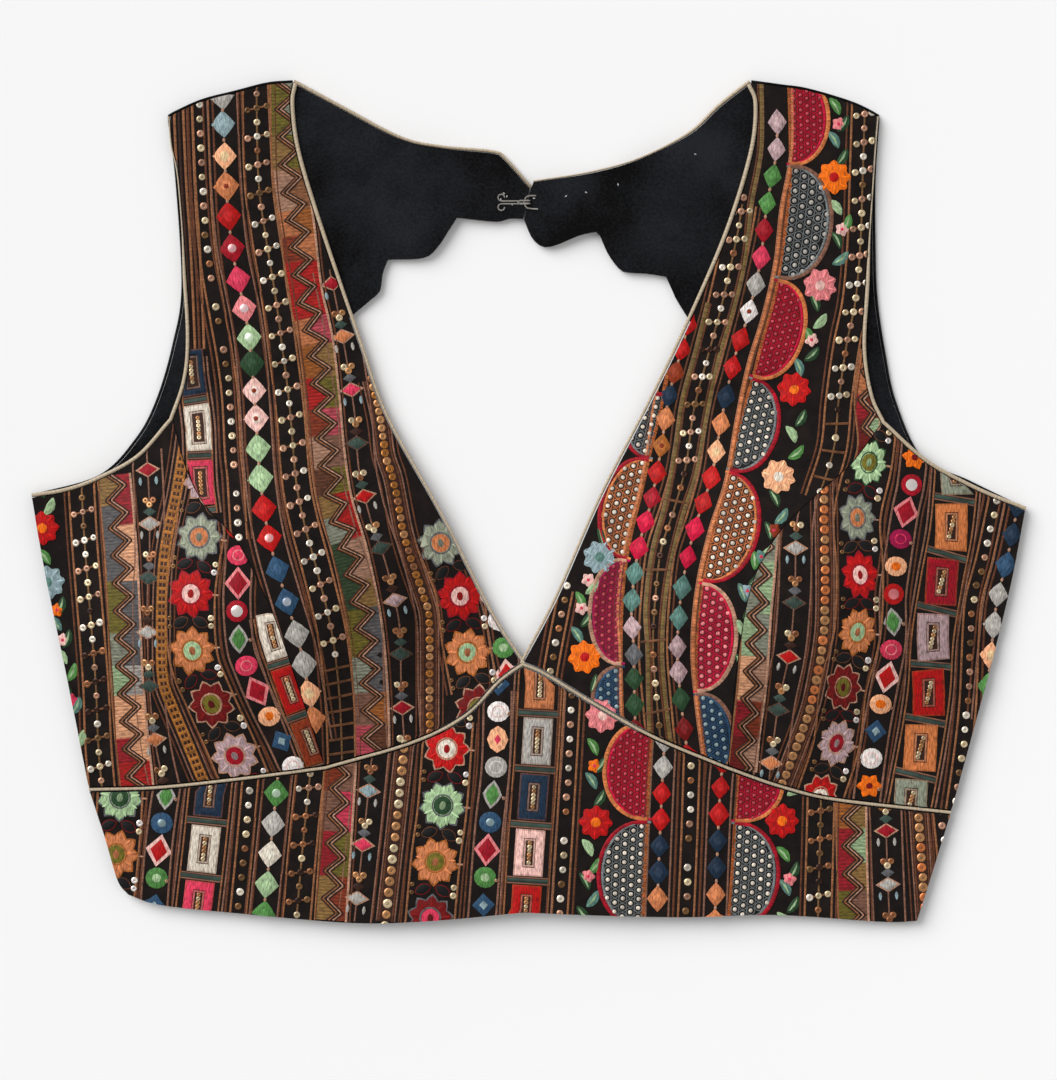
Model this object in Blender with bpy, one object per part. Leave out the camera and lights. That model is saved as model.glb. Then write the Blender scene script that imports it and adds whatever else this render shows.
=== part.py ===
"""Choli blouse, laid flat on its back, hooked at the centre of the upper back.

Every cut piece is a thin wall of its own. The two back halves lie flat on the surface with their
black lining on top. The front lies on them: a centre panel and a side panel for each cup, and one
band below the bust. Corded piping runs along the neck, the armholes and the under-bust seam, and a
bent wire hook holds a bent wire eye in the middle of the upper back.

The tables are in millimetres, seen from above: x to the right of the photo, y towards the shoulders.
"left" and "right" in a name mean the photo's left and right. Meshes are in metres, +Z up.
"""

import math

import bmesh
import bpy
import numpy as np

MM = 0.001

# Wall thicknesses and gaps, in millimetres.
CLOTH_WALL = 1.3
LINING_WALL = 1.0
GAP = 0.3
SEAM_HALF = GAP / 2
LINING_FLOOR = CLOTH_WALL + GAP
FRONT_FLOOR = LINING_FLOOR + LINING_WALL + GAP

# Piping and wire.
PIPING_RADIUS = 1.1
ARMHOLE_BACK_RADIUS = 0.8
UNDERBUST_RADIUS = 1.0
WIRE_RADIUS = 0.45
PIPING_SIDES = 6
WIRE_SIDES = 6
UNDERBUST_HALF = UNDERBUST_RADIUS + GAP

# The two neck pipings stop this share of a step short of the V's point, clear of each other.
NECK_PIPING_TRIM = 0.45

# The frame's origin is the middle of the blouse's box, on the surface that it lies on.
BOX_SHIFT = (-0.23, -0.63)

# How many points each stretch of a seam gets. Panels that share a seam share its points.
ACROSS_SIDE = 9
ACROSS_CENTRE = 15
UP_SEAM = 16
UP_STRAP = 14
DOWN_BAND = 10
ALONG_NECK_BACK = 18
ALONG_ARMHOLE_BACK = 22
ALONG_SIDE = 8
SCALLOP_STEPS = 6
CENTRE_STEPS = 4

# Front edges. Columns: x, y.
V_POINT = (-2.6, -71.6)
NECK_LEFT = [V_POINT, (-16.6, -49.9), (-39.6, -4.9), (-63.4, 38.0), (-75.4, 71.2),
             (-93.5, 123.8), (-102.8, 155.1), (-105.4, 175.5), (-104.1, 184.8)]
NECK_RIGHT = [V_POINT, (13.0, -42.0), (32.5, 2.2), (53.7, 43.3), (70.1, 76.9),
              (88.2, 118.5), (99.2, 153.8), (101.4, 175.5), (98.3, 184.8)]
SHOULDER_LEFT = [(-158.0, 170.2), (-144.3, 176.4), (-129.3, 180.3), (-115.1, 183.9), (-104.1, 184.8)]
SHOULDER_RIGHT = [(98.3, 184.8), (111.6, 183.0), (123.5, 181.2), (142.5, 175.5), (153.6, 170.2)]

# The armhole is listed from the shoulder down to the princess seam, then on to the underarm.
SEAM_TOP_LEFT = (-156.7, 35.8)
SEAM_TOP_RIGHT = (155.5, 34.5)
ARMHOLE_UPPER_LEFT = [(-158.0, 170.2), (-157.0, 157.4), (-154.0, 142.3), (-150.9, 102.5),
                      (-149.2, 73.4), (-150.8, 53.9), SEAM_TOP_LEFT]
ARMHOLE_UPPER_RIGHT = [(153.6, 170.2), (152.7, 160.0), (150.9, 133.5), (148.3, 93.7),
                       (147.0, 67.2), (150.1, 46.9), SEAM_TOP_RIGHT]
UNDERARM_LEFT = (-219.0, 1.8)
UNDERARM_RIGHT = (219.0, -4.0)
ARMHOLE_LOWER_LEFT = [SEAM_TOP_LEFT, (-171.3, 19.4), (-189.8, 9.3), (-204.0, 4.3), UNDERARM_LEFT]
ARMHOLE_LOWER_RIGHT = [SEAM_TOP_RIGHT, (174.8, 17.2), (197.4, 4.9), UNDERARM_RIGHT]

# Princess seams, from the under-bust seam up to the armhole.
SEAM_FOOT_LEFT = (-89.5, -117.1)
SEAM_FOOT_RIGHT = (87.7, -117.1)
PRINCESS_LEFT = [SEAM_FOOT_LEFT, (-100.1, -83.1), (-109.8, -53.0), (-117.8, -34.9), (-127.5, -16.8),
                 (-141.9, -1.1), (-150.5, 15.0), SEAM_TOP_LEFT]
PRINCESS_RIGHT = [SEAM_FOOT_RIGHT, (90.4, -78.7), (94.6, -47.7), (99.8, -29.9), (110.3, -12.4),
                  (126.4, 3.4), (142.1, 17.1), SEAM_TOP_RIGHT]

# Under-bust seam, in the stretches that the four cup panels sew to, from left to right.
SIDE_FOOT_LEFT = (-193.8, -126.9)
SIDE_FOOT_RIGHT = (186.3, -137.0)
UNDERBUST_SIDE_LEFT = [SIDE_FOOT_LEFT, (-163.8, -126.0), (-130.2, -122.4), SEAM_FOOT_LEFT]
UNDERBUST_CENTRE_LEFT = [SEAM_FOOT_LEFT, (-51.5, -106.1), (-28.5, -94.6), (-12.6, -78.8), V_POINT]
UNDERBUST_CENTRE_RIGHT = [V_POINT, (6.9, -75.6), (28.1, -88.4), (55.0, -103.4), SEAM_FOOT_RIGHT]
UNDERBUST_SIDE_RIGHT = [SEAM_FOOT_RIGHT, (110.3, -125.1), (135.9, -131.3), SIDE_FOOT_RIGHT]

# Side seams of the cups, upwards, and of the band, upwards.
SIDE_LEFT = [SIDE_FOOT_LEFT, (-203.1, -80.0), (-213.3, -30.9), UNDERARM_LEFT]
SIDE_RIGHT = [SIDE_FOOT_RIGHT, (202.7, -76.9), (212.4, -38.0), UNDERARM_RIGHT]
HEM_CORNER_LEFT = (-176.5, -173.2)
HEM_CORNER_RIGHT = (171.3, -184.8)
BAND_SIDE_LEFT = [HEM_CORNER_LEFT, (-181.1, -167.3), (-186.3, -149.8), SIDE_FOOT_LEFT]
BAND_SIDE_RIGHT = [HEM_CORNER_RIGHT, (178.9, -161.0), SIDE_FOOT_RIGHT]
HEM_LEFT = [HEM_CORNER_LEFT, (-162.9, -177.7), (-130.2, -181.2), (-76.2, -185.6), (-39.1, -184.3),
            (-2.0, -180.8)]
HEM_RIGHT = [(-2.0, -180.8), (28.1, -182.1), (68.7, -183.0), (109.0, -182.1), (156.2, -185.2),
             HEM_CORNER_RIGHT]

# Back edges. The left half reaches the middle with a slanted end, and the right half starts beside it.
NECK_BACK_LEFT = [(-104.1, 184.8), (-81.1, 172.4), (-56.8, 160.0), (-39.1, 156.0), (-16.1, 153.8),
                  (-10.6, 150.6), (0.2, 138.4)]
NECK_BACK_RIGHT = [(98.3, 184.8), (84.6, 174.1), (71.4, 162.2), (49.3, 151.2), (27.2, 145.0),
                   (3.8, 141.2)]
ARMHOLE_BACK_LEFT = [(-158.0, 170.2), (-154.5, 142.3), (-151.8, 95.0), (-155.8, 69.4),
                     (-162.9, 45.1), (-172.2, 27.4), (-189.0, 10.6), UNDERARM_LEFT]
ARMHOLE_BACK_RIGHT = [(153.6, 170.2), (151.8, 142.3), (151.8, 112.7), (152.7, 89.3), (156.2, 65.4),
                      (161.1, 43.3), (173.0, 18.6), (194.0, 8.2), UNDERARM_RIGHT]
CENTRE_TOP_LEFT = [(0.2, 138.4), (-0.9, 131.5), (-2.0, 125.5)]
CENTRE_TOP_RIGHT = [(3.8, 141.2), (2.0, 136.5), (0.8, 124.5)]

# Corners of the scalloped window in the back, from the middle of the upper edge out and down.
# Columns: x, y, belly (how far the arc up to this corner bulges into the window).
SCALLOPS_LEFT = [(-2.0, 125.5, 0.0), (-31.2, 126.2, 1.2), (-61.7, 107.0, 8.2), (-82.0, 79.0, 7.0),
                 (-98.0, 44.0, 7.0), (-108.0, 6.0, 7.0), (-108.0, -34.0, 7.0), (-95.0, -72.0, 7.0),
                 (-66.0, -99.0, 7.0)]
SCALLOPS_RIGHT = [(0.8, 124.5, 0.0), (30.7, 119.8, 8.8), (60.3, 99.0, 7.6), (79.0, 68.0, 7.0),
                  (95.0, 34.0, 7.0), (104.0, -4.0, 7.0), (103.0, -42.0, 7.0), (90.0, -76.0, 7.0),
                  (64.0, -101.0, 7.0)]
WINDOW_FOOT_Y = -104.0
CENTRE_LOW_X = 0.3

# Fullness of the front. Columns: x, y of the top, reach left, right, up and down, height.
CUPS = [(-121.0, -42.0, 90.0, 104.0, 96.0, 88.0, 24.0),
        (115.0, -46.0, 106.0, 94.0, 98.0, 86.0, 25.0)]
BAND_RISE = (0.0, -146.0, 176.0, 176.0, 112.0, 112.0, 3.9)

# Soft troughs that run up into the cups. Columns: foot x, y, head x, y, half width, depth.
FOLDS = [(-158.0, -116.0, -146.0, -66.0, 9.0, 1.8),
         (-64.0, -100.0, -84.0, -52.0, 10.0, 2.4),
         (-30.0, -84.0, -56.0, -44.0, 9.0, 1.8),
         (-152.0, 18.0, -118.0, 4.0, 8.0, 1.6),
         (30.0, -78.0, 52.0, -6.0, 12.0, 2.8),
         (66.0, -98.0, 84.0, -50.0, 10.0, 2.4),
         (146.0, -120.0, 134.0, -64.0, 10.0, 2.6),
         (150.0, 22.0, 116.0, 6.0, 8.0, 1.6)]

# Hook and eye, from the hook's bend. The bill closes over the eye's bar.
HOOK_TOP = (0.5, 132.2)
HOOKS_LOW = [(1.4, -126.0), (1.4, -160.0)]
HOOK_REACH = 12.5
HOOK_WIRE_HALF = 0.62
HOOK_RING_RADIUS = 1.5
EYE_LENGTH = 9.0
EYE_HALF = 2.9
EYE_RING_RADIUS = 1.4
EYE_BAR_X = -2.2
WIRE_FLOOR = FRONT_FLOOR + WIRE_RADIUS
WIRE_STEP = 2 * WIRE_RADIUS + GAP

# Colours as linear RGB, with roughness and metallic.
FINISHES = {
    "embroidered_cloth": ((0.055, 0.026, 0.020), 0.85, 0.0),
    "lining_cloth": ((0.006, 0.008, 0.012), 0.95, 0.0),
    "piping_cord": ((0.62, 0.50, 0.32), 0.55, 0.0),
    "hook_steel": ((0.52, 0.50, 0.47), 0.35, 1.0),
}


def clear_scene():
    for item in list(bpy.data.objects):
        bpy.data.objects.remove(item, do_unlink=True)


def material_for(finish):
    """Return the named material, made on first use."""
    found = bpy.data.materials.get(finish)
    if found:
        return found
    colour, roughness, metallic = FINISHES[finish]
    made = bpy.data.materials.new(finish)
    made.use_nodes = True
    shader = made.node_tree.nodes["Principled BSDF"]
    shader.inputs["Base Color"].default_value = (*colour, 1.0)
    shader.inputs["Roughness"].default_value = roughness
    shader.inputs["Metallic"].default_value = metallic
    return made


def smooth_curve(rows, count):
    """Sample a Catmull-Rom curve through the rows at equal arc lengths."""
    points = np.array(rows, dtype=float)
    before = 2 * points[0] - points[1]
    after = 2 * points[-1] - points[-2]
    padded = np.vstack([before, points, after])
    share = np.linspace(0.0, 1.0, 25)[:, None]
    dense = []
    for index in range(len(points) - 1):
        p0, p1, p2, p3 = padded[index:index + 4]
        linear = (p2 - p0) * share
        square = (2 * p0 - 5 * p1 + 4 * p2 - p3) * share ** 2
        cube = (3 * p1 - p0 - 3 * p2 + p3) * share ** 3
        dense.append(0.5 * (2 * p1 + linear + square + cube))
    dense = np.vstack(dense)
    steps = np.linalg.norm(np.diff(dense, axis=0), axis=1)
    length = np.concatenate([[0.0], np.cumsum(steps)])
    wanted = np.linspace(0.0, length[-1], count)
    return np.column_stack([np.interp(wanted, length, dense[:, axis]) for axis in (0, 1)])


def join_curves(*curves):
    """Chain curves that share their end points."""
    return np.vstack([curves[0]] + [curve[1:] for curve in curves[1:]])


def side_normals(curve):
    """Unit normals to the left of the curve's direction, averaged at each point."""
    forward = np.gradient(curve, axis=0)
    forward /= np.linalg.norm(forward, axis=1)[:, None]
    return np.column_stack([-forward[:, 1], forward[:, 0]])


def scallop_chain(rows, turn):
    """Join the corners with circular arcs. turn is +1 where the window lies to the left."""
    chain = [np.array(rows[0][:2])]
    for (x0, y0, _), (x1, y1, belly) in zip(rows, rows[1:]):
        start = np.array([x0, y0])
        chord = np.array([x1, y1]) - start
        length = np.linalg.norm(chord)
        normal = turn * np.array([-chord[1], chord[0]]) / length
        for step in range(1, SCALLOP_STEPS + 1):
            share = step / SCALLOP_STEPS
            rise = 4 * belly * share * (1 - share)
            chain.append(start + chord * share + normal * rise)
    return np.array(chain)


def hump(x, y, row):
    """A soft rise that is full height at its top and dies out at its reach."""
    top_x, top_y, left, right, up, down, height = row
    across = np.where(x < top_x, (x - top_x) / left, (x - top_x) / right)
    along = np.where(y < top_y, (y - top_y) / down, (y - top_y) / up)
    inside = np.clip(1 - across ** 2 - along ** 2, 0, 1)
    return height * inside ** 1.6


def trough(x, y, row):
    """A soft groove along a line, deepest in the middle of its length."""
    foot_x, foot_y, head_x, head_y, half_width, depth = row
    run = np.array([head_x - foot_x, head_y - foot_y])
    length = np.linalg.norm(run)
    share = ((x - foot_x) * run[0] + (y - foot_y) * run[1]) / length ** 2
    aside = ((x - foot_x) * run[1] - (y - foot_y) * run[0]) / length
    fade = np.clip(np.sin(np.pi * np.clip(share, 0, 1)), 0, 1)
    return depth * fade * np.exp(-(aside / half_width) ** 2)


def front_height(points):
    """Height of the front's underside: the resting layer, the fullness and the folds."""
    x = points[..., 0]
    y = points[..., 1]
    rise = sum(hump(x, y, row) for row in CUPS) + hump(x, y, BAND_RISE)
    sink = sum(trough(x, y, row) for row in FOLDS)
    return FRONT_FLOOR + np.maximum(rise - sink, 0.0)


def coons_grid(bottom, top, left, right):
    """Fill four edge curves with a grid: rows run from bottom to top, columns from left to right."""
    def share_of(first, second):
        shares = []
        for curve in (first, second):
            steps = np.linalg.norm(np.diff(curve, axis=0), axis=1)
            shares.append(np.concatenate([[0.0], np.cumsum(steps)]) / steps.sum())
        return (shares[0] + shares[1]) / 2

    s = share_of(bottom, top)[None, :, None]
    t = share_of(left, right)[:, None, None]
    between_rows = (1 - t) * bottom[None] + t * top[None]
    between_sides = (1 - s) * left[:, None] + s * right[:, None]
    corners = ((1 - s) * (1 - t) * bottom[0] + s * (1 - t) * bottom[-1]
               + (1 - s) * t * top[0] + s * t * top[-1])
    return between_rows + between_sides - corners


def pull_in(grid, bottom, top, left, right):
    """Move a grid's edges inwards by the given amounts, to leave the seams' gaps."""
    moved = grid.copy()
    moved[0] += side_normals(grid[0]) * bottom
    moved[-1] -= side_normals(grid[-1]) * top
    moved[:, 0] -= side_normals(grid[:, 0]) * left
    moved[:, -1] += side_normals(grid[:, -1]) * right
    return moved


def add_object(name, vertices, faces, finish):
    """Make one named object from points in millimetres, with outward faces."""
    shift = np.array([BOX_SHIFT[0], BOX_SHIFT[1], 0.0])
    mesh = bpy.data.meshes.new(name)
    mesh.from_pydata(((np.asarray(vertices) + shift) * MM).tolist(), [], faces)
    work = bmesh.new()
    work.from_mesh(mesh)
    bmesh.ops.recalc_face_normals(work, faces=work.faces)
    work.to_mesh(mesh)
    work.free()
    mesh.materials.append(material_for(finish))
    mesh.shade_smooth()
    mesh.set_sharp_from_angle(angle=math.radians(40))
    item = bpy.data.objects.new(name, mesh)
    bpy.context.scene.collection.objects.link(item)
    return item


def add_wall(name, grid, floor, thickness, finish):
    """A cloth wall on a grid of plan points: an underside, a top side and a rim."""
    rows, columns = grid.shape[:2]
    height = floor(grid)
    under = np.dstack([grid, height]).reshape(-1, 3)
    over = np.dstack([grid, height + thickness]).reshape(-1, 3)
    count = rows * columns
    index = np.arange(count).reshape(rows, columns)
    corner = [index[:-1, :-1], index[:-1, 1:], index[1:, 1:], index[1:, :-1]]
    cells = np.dstack(corner).reshape(-1, 4)
    faces = cells[:, ::-1].tolist() + (cells + count).tolist()
    rim = np.concatenate([index[0], index[1:, -1], index[-1, -2::-1], index[-2:0:-1, 0]])
    following = np.roll(rim, -1)
    faces += np.column_stack([rim, following, following + count, rim + count]).tolist()
    return add_object(name, np.vstack([under, over]), faces, finish)


def add_plate(name, outline, low, high, finish):
    """A flat cloth wall cut to an outline."""
    count = len(outline)
    under = np.column_stack([outline, np.full(count, low)])
    over = np.column_stack([outline, np.full(count, high)])
    faces = [list(range(count)), list(range(count, 2 * count))]
    for index in range(count):
        following = (index + 1) % count
        faces.append([index, following, following + count, index + count])
    return add_object(name, np.vstack([under, over]), faces, finish)


def add_tube(name, path, radius, sides, finish):
    """A round cord or wire along a path in space, closed at both ends."""
    path = np.asarray(path, dtype=float)
    forward = np.gradient(path, axis=0)
    forward /= np.linalg.norm(forward, axis=1)[:, None]
    across = np.cross(forward[0], [0.0, 0.0, 1.0])
    if np.linalg.norm(across) < 0.1:
        across = np.cross(forward[0], [0.0, 1.0, 0.0])
    angles = np.arange(sides) * 2 * math.pi / sides
    rings = []
    for point, ahead in zip(path, forward):
        across = across - ahead * np.dot(across, ahead)
        across /= np.linalg.norm(across)
        upward = np.cross(across, ahead)
        ring = np.outer(np.cos(angles), across) + np.outer(np.sin(angles), upward)
        rings.append(point + radius * ring)
    faces = []
    for step in range(len(path) - 1):
        for side in range(sides):
            here = step * sides + side
            beside = step * sides + (side + 1) % sides
            faces.append([here, beside, beside + sides, here + sides])
    last = (len(path) - 1) * sides
    faces.append(list(range(sides)))
    faces.append(list(range(last, last + sides)))
    return add_object(name, np.vstack(rings), faces, finish)


def add_edge_piping(name, edge, turn, radius, floor):
    """Piping just outside a panel's edge. turn is +1 where the outside lies to the left."""
    path = edge + side_normals(edge) * turn * (radius + GAP)
    height = floor(edge) + radius
    return add_tube(name, np.column_stack([path, height]), radius, PIPING_SIDES, "piping_cord")


def front_panels():
    """The four cup panels, the band, their piping and the under-bust piping."""
    centre_up = UP_SEAM + UP_STRAP - 1
    lines = {}
    lines["neck_left"] = smooth_curve(NECK_LEFT, centre_up)
    lines["neck_right"] = smooth_curve(NECK_RIGHT, centre_up)
    lines["princess_left"] = smooth_curve(PRINCESS_LEFT, UP_SEAM)
    lines["princess_right"] = smooth_curve(PRINCESS_RIGHT, UP_SEAM)
    lines["strap_left"] = smooth_curve(ARMHOLE_UPPER_LEFT[::-1], UP_STRAP)
    lines["strap_right"] = smooth_curve(ARMHOLE_UPPER_RIGHT[::-1], UP_STRAP)
    lines["lower_left"] = smooth_curve(ARMHOLE_LOWER_LEFT[::-1], ACROSS_SIDE)
    lines["lower_right"] = smooth_curve(ARMHOLE_LOWER_RIGHT, ACROSS_SIDE)
    lines["bust_1"] = smooth_curve(UNDERBUST_SIDE_LEFT, ACROSS_SIDE)
    lines["bust_2"] = smooth_curve(UNDERBUST_CENTRE_LEFT, ACROSS_CENTRE)
    lines["bust_3"] = smooth_curve(UNDERBUST_CENTRE_RIGHT, ACROSS_CENTRE)
    lines["bust_4"] = smooth_curve(UNDERBUST_SIDE_RIGHT, ACROSS_SIDE)
    bust = join_curves(lines["bust_1"], lines["bust_2"], lines["bust_3"], lines["bust_4"])

    left = coons_grid(lines["bust_2"], smooth_curve(SHOULDER_LEFT, ACROSS_CENTRE),
                      join_curves(lines["princess_left"], lines["strap_left"]), lines["neck_left"])
    left = pull_in(left, UNDERBUST_HALF, 0.0, SEAM_HALF, 0.0)
    left[:, -1, 0] -= SEAM_HALF
    add_wall("front_centre_left", left, front_height, CLOTH_WALL, "embroidered_cloth")

    right = coons_grid(lines["bust_3"], smooth_curve(SHOULDER_RIGHT, ACROSS_CENTRE),
                       lines["neck_right"], join_curves(lines["princess_right"], lines["strap_right"]))
    right = pull_in(right, UNDERBUST_HALF, 0.0, 0.0, SEAM_HALF)
    right[:, 0, 0] += SEAM_HALF
    add_wall("front_centre_right", right, front_height, CLOTH_WALL, "embroidered_cloth")

    side = coons_grid(lines["bust_1"], lines["lower_left"],
                      smooth_curve(SIDE_LEFT, UP_SEAM), lines["princess_left"])
    side = pull_in(side, UNDERBUST_HALF, 0.0, 0.0, SEAM_HALF)
    add_wall("front_side_left", side, front_height, CLOTH_WALL, "embroidered_cloth")

    side = coons_grid(lines["bust_4"], lines["lower_right"],
                      lines["princess_right"], smooth_curve(SIDE_RIGHT, UP_SEAM))
    side = pull_in(side, UNDERBUST_HALF, 0.0, SEAM_HALF, 0.0)
    add_wall("front_side_right", side, front_height, CLOTH_WALL, "embroidered_cloth")

    half = len(bust) // 2 + 1
    hem = join_curves(smooth_curve(HEM_LEFT, half), smooth_curve(HEM_RIGHT, half))
    band = coons_grid(hem, bust, smooth_curve(BAND_SIDE_LEFT, DOWN_BAND),
                      smooth_curve(BAND_SIDE_RIGHT, DOWN_BAND))
    band = pull_in(band, 0.0, UNDERBUST_HALF, 0.0, 0.0)
    add_wall("front_band", band, front_height, CLOTH_WALL, "embroidered_cloth")

    seat = front_height(bust) + UNDERBUST_RADIUS
    add_tube("piping_underbust", np.column_stack([bust, seat]), UNDERBUST_RADIUS, PIPING_SIDES,
             "piping_cord")
    for side_name, turn in (("left", -1), ("right", 1)):
        neck = lines["neck_" + side_name].copy()
        neck[0] += (neck[1] - neck[0]) * NECK_PIPING_TRIM
        add_edge_piping("piping_neck_front_" + side_name, neck, turn, PIPING_RADIUS, front_height)
    armhole = join_curves(lines["strap_left"][::-1], lines["lower_left"][::-1])
    add_edge_piping("piping_armhole_front_left", armhole, -1, PIPING_RADIUS, front_height)
    armhole = join_curves(lines["strap_right"][::-1], lines["lower_right"])
    add_edge_piping("piping_armhole_front_right", armhole, 1, PIPING_RADIUS, front_height)


def back_outline(neck, armhole, side, band_side, hem, centre_low, scallops, centre_top):
    """Walk once round a back half: over the shoulder, down the side, along the hem and back up."""
    parts = [neck[::-1], armhole, side[::-1], band_side[::-1], hem, centre_low, scallops[::-1],
             centre_top[::-1]]
    walk = [parts[0]]
    for part in parts[1:]:
        start = 1 if np.linalg.norm(part[0] - walk[-1][-1]) < 1e-6 else 0
        walk.append(part[start:])
    outline = np.vstack(walk)
    if np.linalg.norm(outline[0] - outline[-1]) < 1e-6:
        outline = outline[:-1]
    return outline


def back_halves():
    """Each back half with its lining and piping."""
    halves = {
        "left": (NECK_BACK_LEFT, SHOULDER_LEFT[::-1], ARMHOLE_BACK_LEFT, SIDE_LEFT, BAND_SIDE_LEFT,
                 HEM_LEFT, SCALLOPS_LEFT, CENTRE_TOP_LEFT, 1),
        "right": (NECK_BACK_RIGHT, SHOULDER_RIGHT, ARMHOLE_BACK_RIGHT, SIDE_RIGHT, BAND_SIDE_RIGHT,
                  HEM_RIGHT[::-1], SCALLOPS_RIGHT, CENTRE_TOP_RIGHT, -1),
    }
    for name, rows in halves.items():
        neck_rows, shoulder, armhole_rows, side, band_side, hem, scallop_rows, top_rows, turn = rows
        sign = -turn
        neck = smooth_curve(neck_rows, ALONG_NECK_BACK)
        armhole = smooth_curve(armhole_rows, ALONG_ARMHOLE_BACK)
        over = join_curves(smooth_curve(shoulder, ALONG_SIDE), armhole)
        scallops = scallop_chain(scallop_rows, turn)
        low = np.array([[sign * CENTRE_LOW_X, hem[-1][1]], [sign * CENTRE_LOW_X, WINDOW_FOOT_Y]])
        hem_curve = smooth_curve(hem, 2 * ALONG_SIDE)[:-1]
        outline = back_outline(neck, over, smooth_curve(side, ALONG_SIDE),
                               smooth_curve(band_side, ALONG_SIDE), hem_curve, low, scallops,
                               smooth_curve(top_rows, CENTRE_STEPS))
        add_plate("back_" + name, outline, 0.0, CLOTH_WALL, "embroidered_cloth")
        add_plate("back_lining_" + name, outline, LINING_FLOOR, LINING_FLOOR + LINING_WALL,
                  "lining_cloth")

        def on_surface(points):
            return np.zeros(len(points)) + GAP / 2

        add_edge_piping("piping_neck_back_" + name, neck, turn, PIPING_RADIUS, on_surface)
        add_edge_piping("piping_armhole_back_" + name, armhole, -turn, ARMHOLE_BACK_RADIUS,
                        on_surface)


def wire_ring(centre_x, centre_y, start_degrees, sweep_degrees, radius, steps=7):
    """Points round part of a circle that lies flat on the lining."""
    turns = np.radians(start_degrees + np.linspace(0, sweep_degrees, steps))
    return [(centre_x + radius * math.cos(a), centre_y + radius * math.sin(a), WIRE_FLOOR)
            for a in turns]


def add_hook(name, bend_x, bend_y):
    """A hook of one bent wire: two sewing rings, a double shank and a bill that turns back over."""
    lift = WIRE_FLOOR
    tail = bend_x - HOOK_REACH
    ring = HOOK_RING_RADIUS
    half = HOOK_WIRE_HALF
    upper = wire_ring(tail, bend_y + half + ring, 0, 270, ring)
    shank = [(tail + 3.0, bend_y + half, lift), (bend_x - 3.0, bend_y + half, lift)]
    bill = [(bend_x - 0.9, bend_y + half, lift), (bend_x - 0.1, bend_y + half, lift + 0.45),
            (bend_x + 0.15, bend_y + half, lift + WIRE_STEP),
            (bend_x - 0.1, bend_y + half, lift + 2 * WIRE_STEP - 0.45),
            (bend_x - 0.9, bend_y + half, lift + 2 * WIRE_STEP),
            (bend_x - 4.4, bend_y + half, lift + 2 * WIRE_STEP - 0.1)]
    tip = [(bend_x - 4.9, bend_y + half / 2, lift + 2 * WIRE_STEP - 0.1)]
    near = upper + shank + bill + tip
    far = [(x, 2 * bend_y - y, z) for x, y, z in reversed(near)]
    add_tube(name, near + far, WIRE_RADIUS, WIRE_SIDES, "hook_steel")


def add_eye(name, bend_x, bend_y):
    """An eye of one bent wire: two sewing rings and a bar that lies inside the hook's bill."""
    bar_x = bend_x + EYE_BAR_X
    root_x = bar_x + EYE_LENGTH
    ring = EYE_RING_RADIUS
    high = WIRE_FLOOR + WIRE_STEP
    upper = wire_ring(root_x, bend_y + EYE_HALF + ring, 180, -270, ring)
    leg = [(root_x - 2.2, bend_y + EYE_HALF, WIRE_FLOOR), (bar_x + 3.4, bend_y + EYE_HALF, high),
           (bar_x + 1.2, bend_y + EYE_HALF - 0.3, high), (bar_x + 0.2, bend_y + EYE_HALF - 1.2, high)]
    middle = [(bar_x, bend_y, high)]
    near = upper + leg
    far = [(x, 2 * bend_y - y, z) for x, y, z in reversed(near)]
    add_tube(name, near + middle + far, WIRE_RADIUS, WIRE_SIDES, "hook_steel")


def fastenings():
    """The hook and eye in the neck, and two pairs that close the lower back."""
    add_hook("hook_top", *HOOK_TOP)
    add_eye("eye_top", *HOOK_TOP)
    for number, place in enumerate(HOOKS_LOW, start=1):
        add_hook(f"hook_low_{number}", *place)
        add_eye(f"eye_low_{number}", *place)


clear_scene()
back_halves()
front_panels()
fastenings()
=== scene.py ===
# %% [markdown]
# A choli blouse, laid flat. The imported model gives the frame: thin walls for each cut piece, corded
# piping, and a hook and eye. This script gives the looks. Each embroidered panel becomes a finer
# shell on the same form, and its embroidery is stitched on as small raised shapes that follow the
# cloth. Everything here is in millimetres until a mesh is made, because cloth is cut in millimetres.

# %% Frame and helpers
import math

import bpy
import numpy as np
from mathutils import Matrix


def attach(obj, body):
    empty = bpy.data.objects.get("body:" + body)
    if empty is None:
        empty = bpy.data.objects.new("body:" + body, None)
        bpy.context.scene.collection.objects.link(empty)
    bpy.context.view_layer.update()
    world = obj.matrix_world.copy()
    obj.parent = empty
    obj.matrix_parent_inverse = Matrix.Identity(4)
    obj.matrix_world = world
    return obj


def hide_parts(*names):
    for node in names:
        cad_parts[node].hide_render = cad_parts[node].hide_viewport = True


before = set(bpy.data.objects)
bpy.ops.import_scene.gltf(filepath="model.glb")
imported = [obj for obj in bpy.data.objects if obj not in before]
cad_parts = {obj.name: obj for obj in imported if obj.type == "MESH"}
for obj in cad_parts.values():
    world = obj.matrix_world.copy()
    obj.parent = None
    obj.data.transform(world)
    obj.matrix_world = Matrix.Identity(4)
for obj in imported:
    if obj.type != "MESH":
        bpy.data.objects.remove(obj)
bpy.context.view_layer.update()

MM = 0.001
rng = np.random.default_rng(29)
print("frame holds", len(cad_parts), "nodes")

# %% [markdown]
# The photo is the pattern table. A place on the embroidery is given as a pixel of the photo, and this
# cell turns it into millimetres on the blouse. The camera uses the same three numbers, so what is
# placed by a pixel is rendered at that pixel.

# %% Photo scale and camera
PHOTO_SIZE = (1057, 1080)
PIXEL = 0.442
PHOTO_ORIGIN = (528.5, 502.0)
BOX_SHIFT = (-0.23, -0.63)
LENS = 150.0
SENSOR = 36.0


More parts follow.
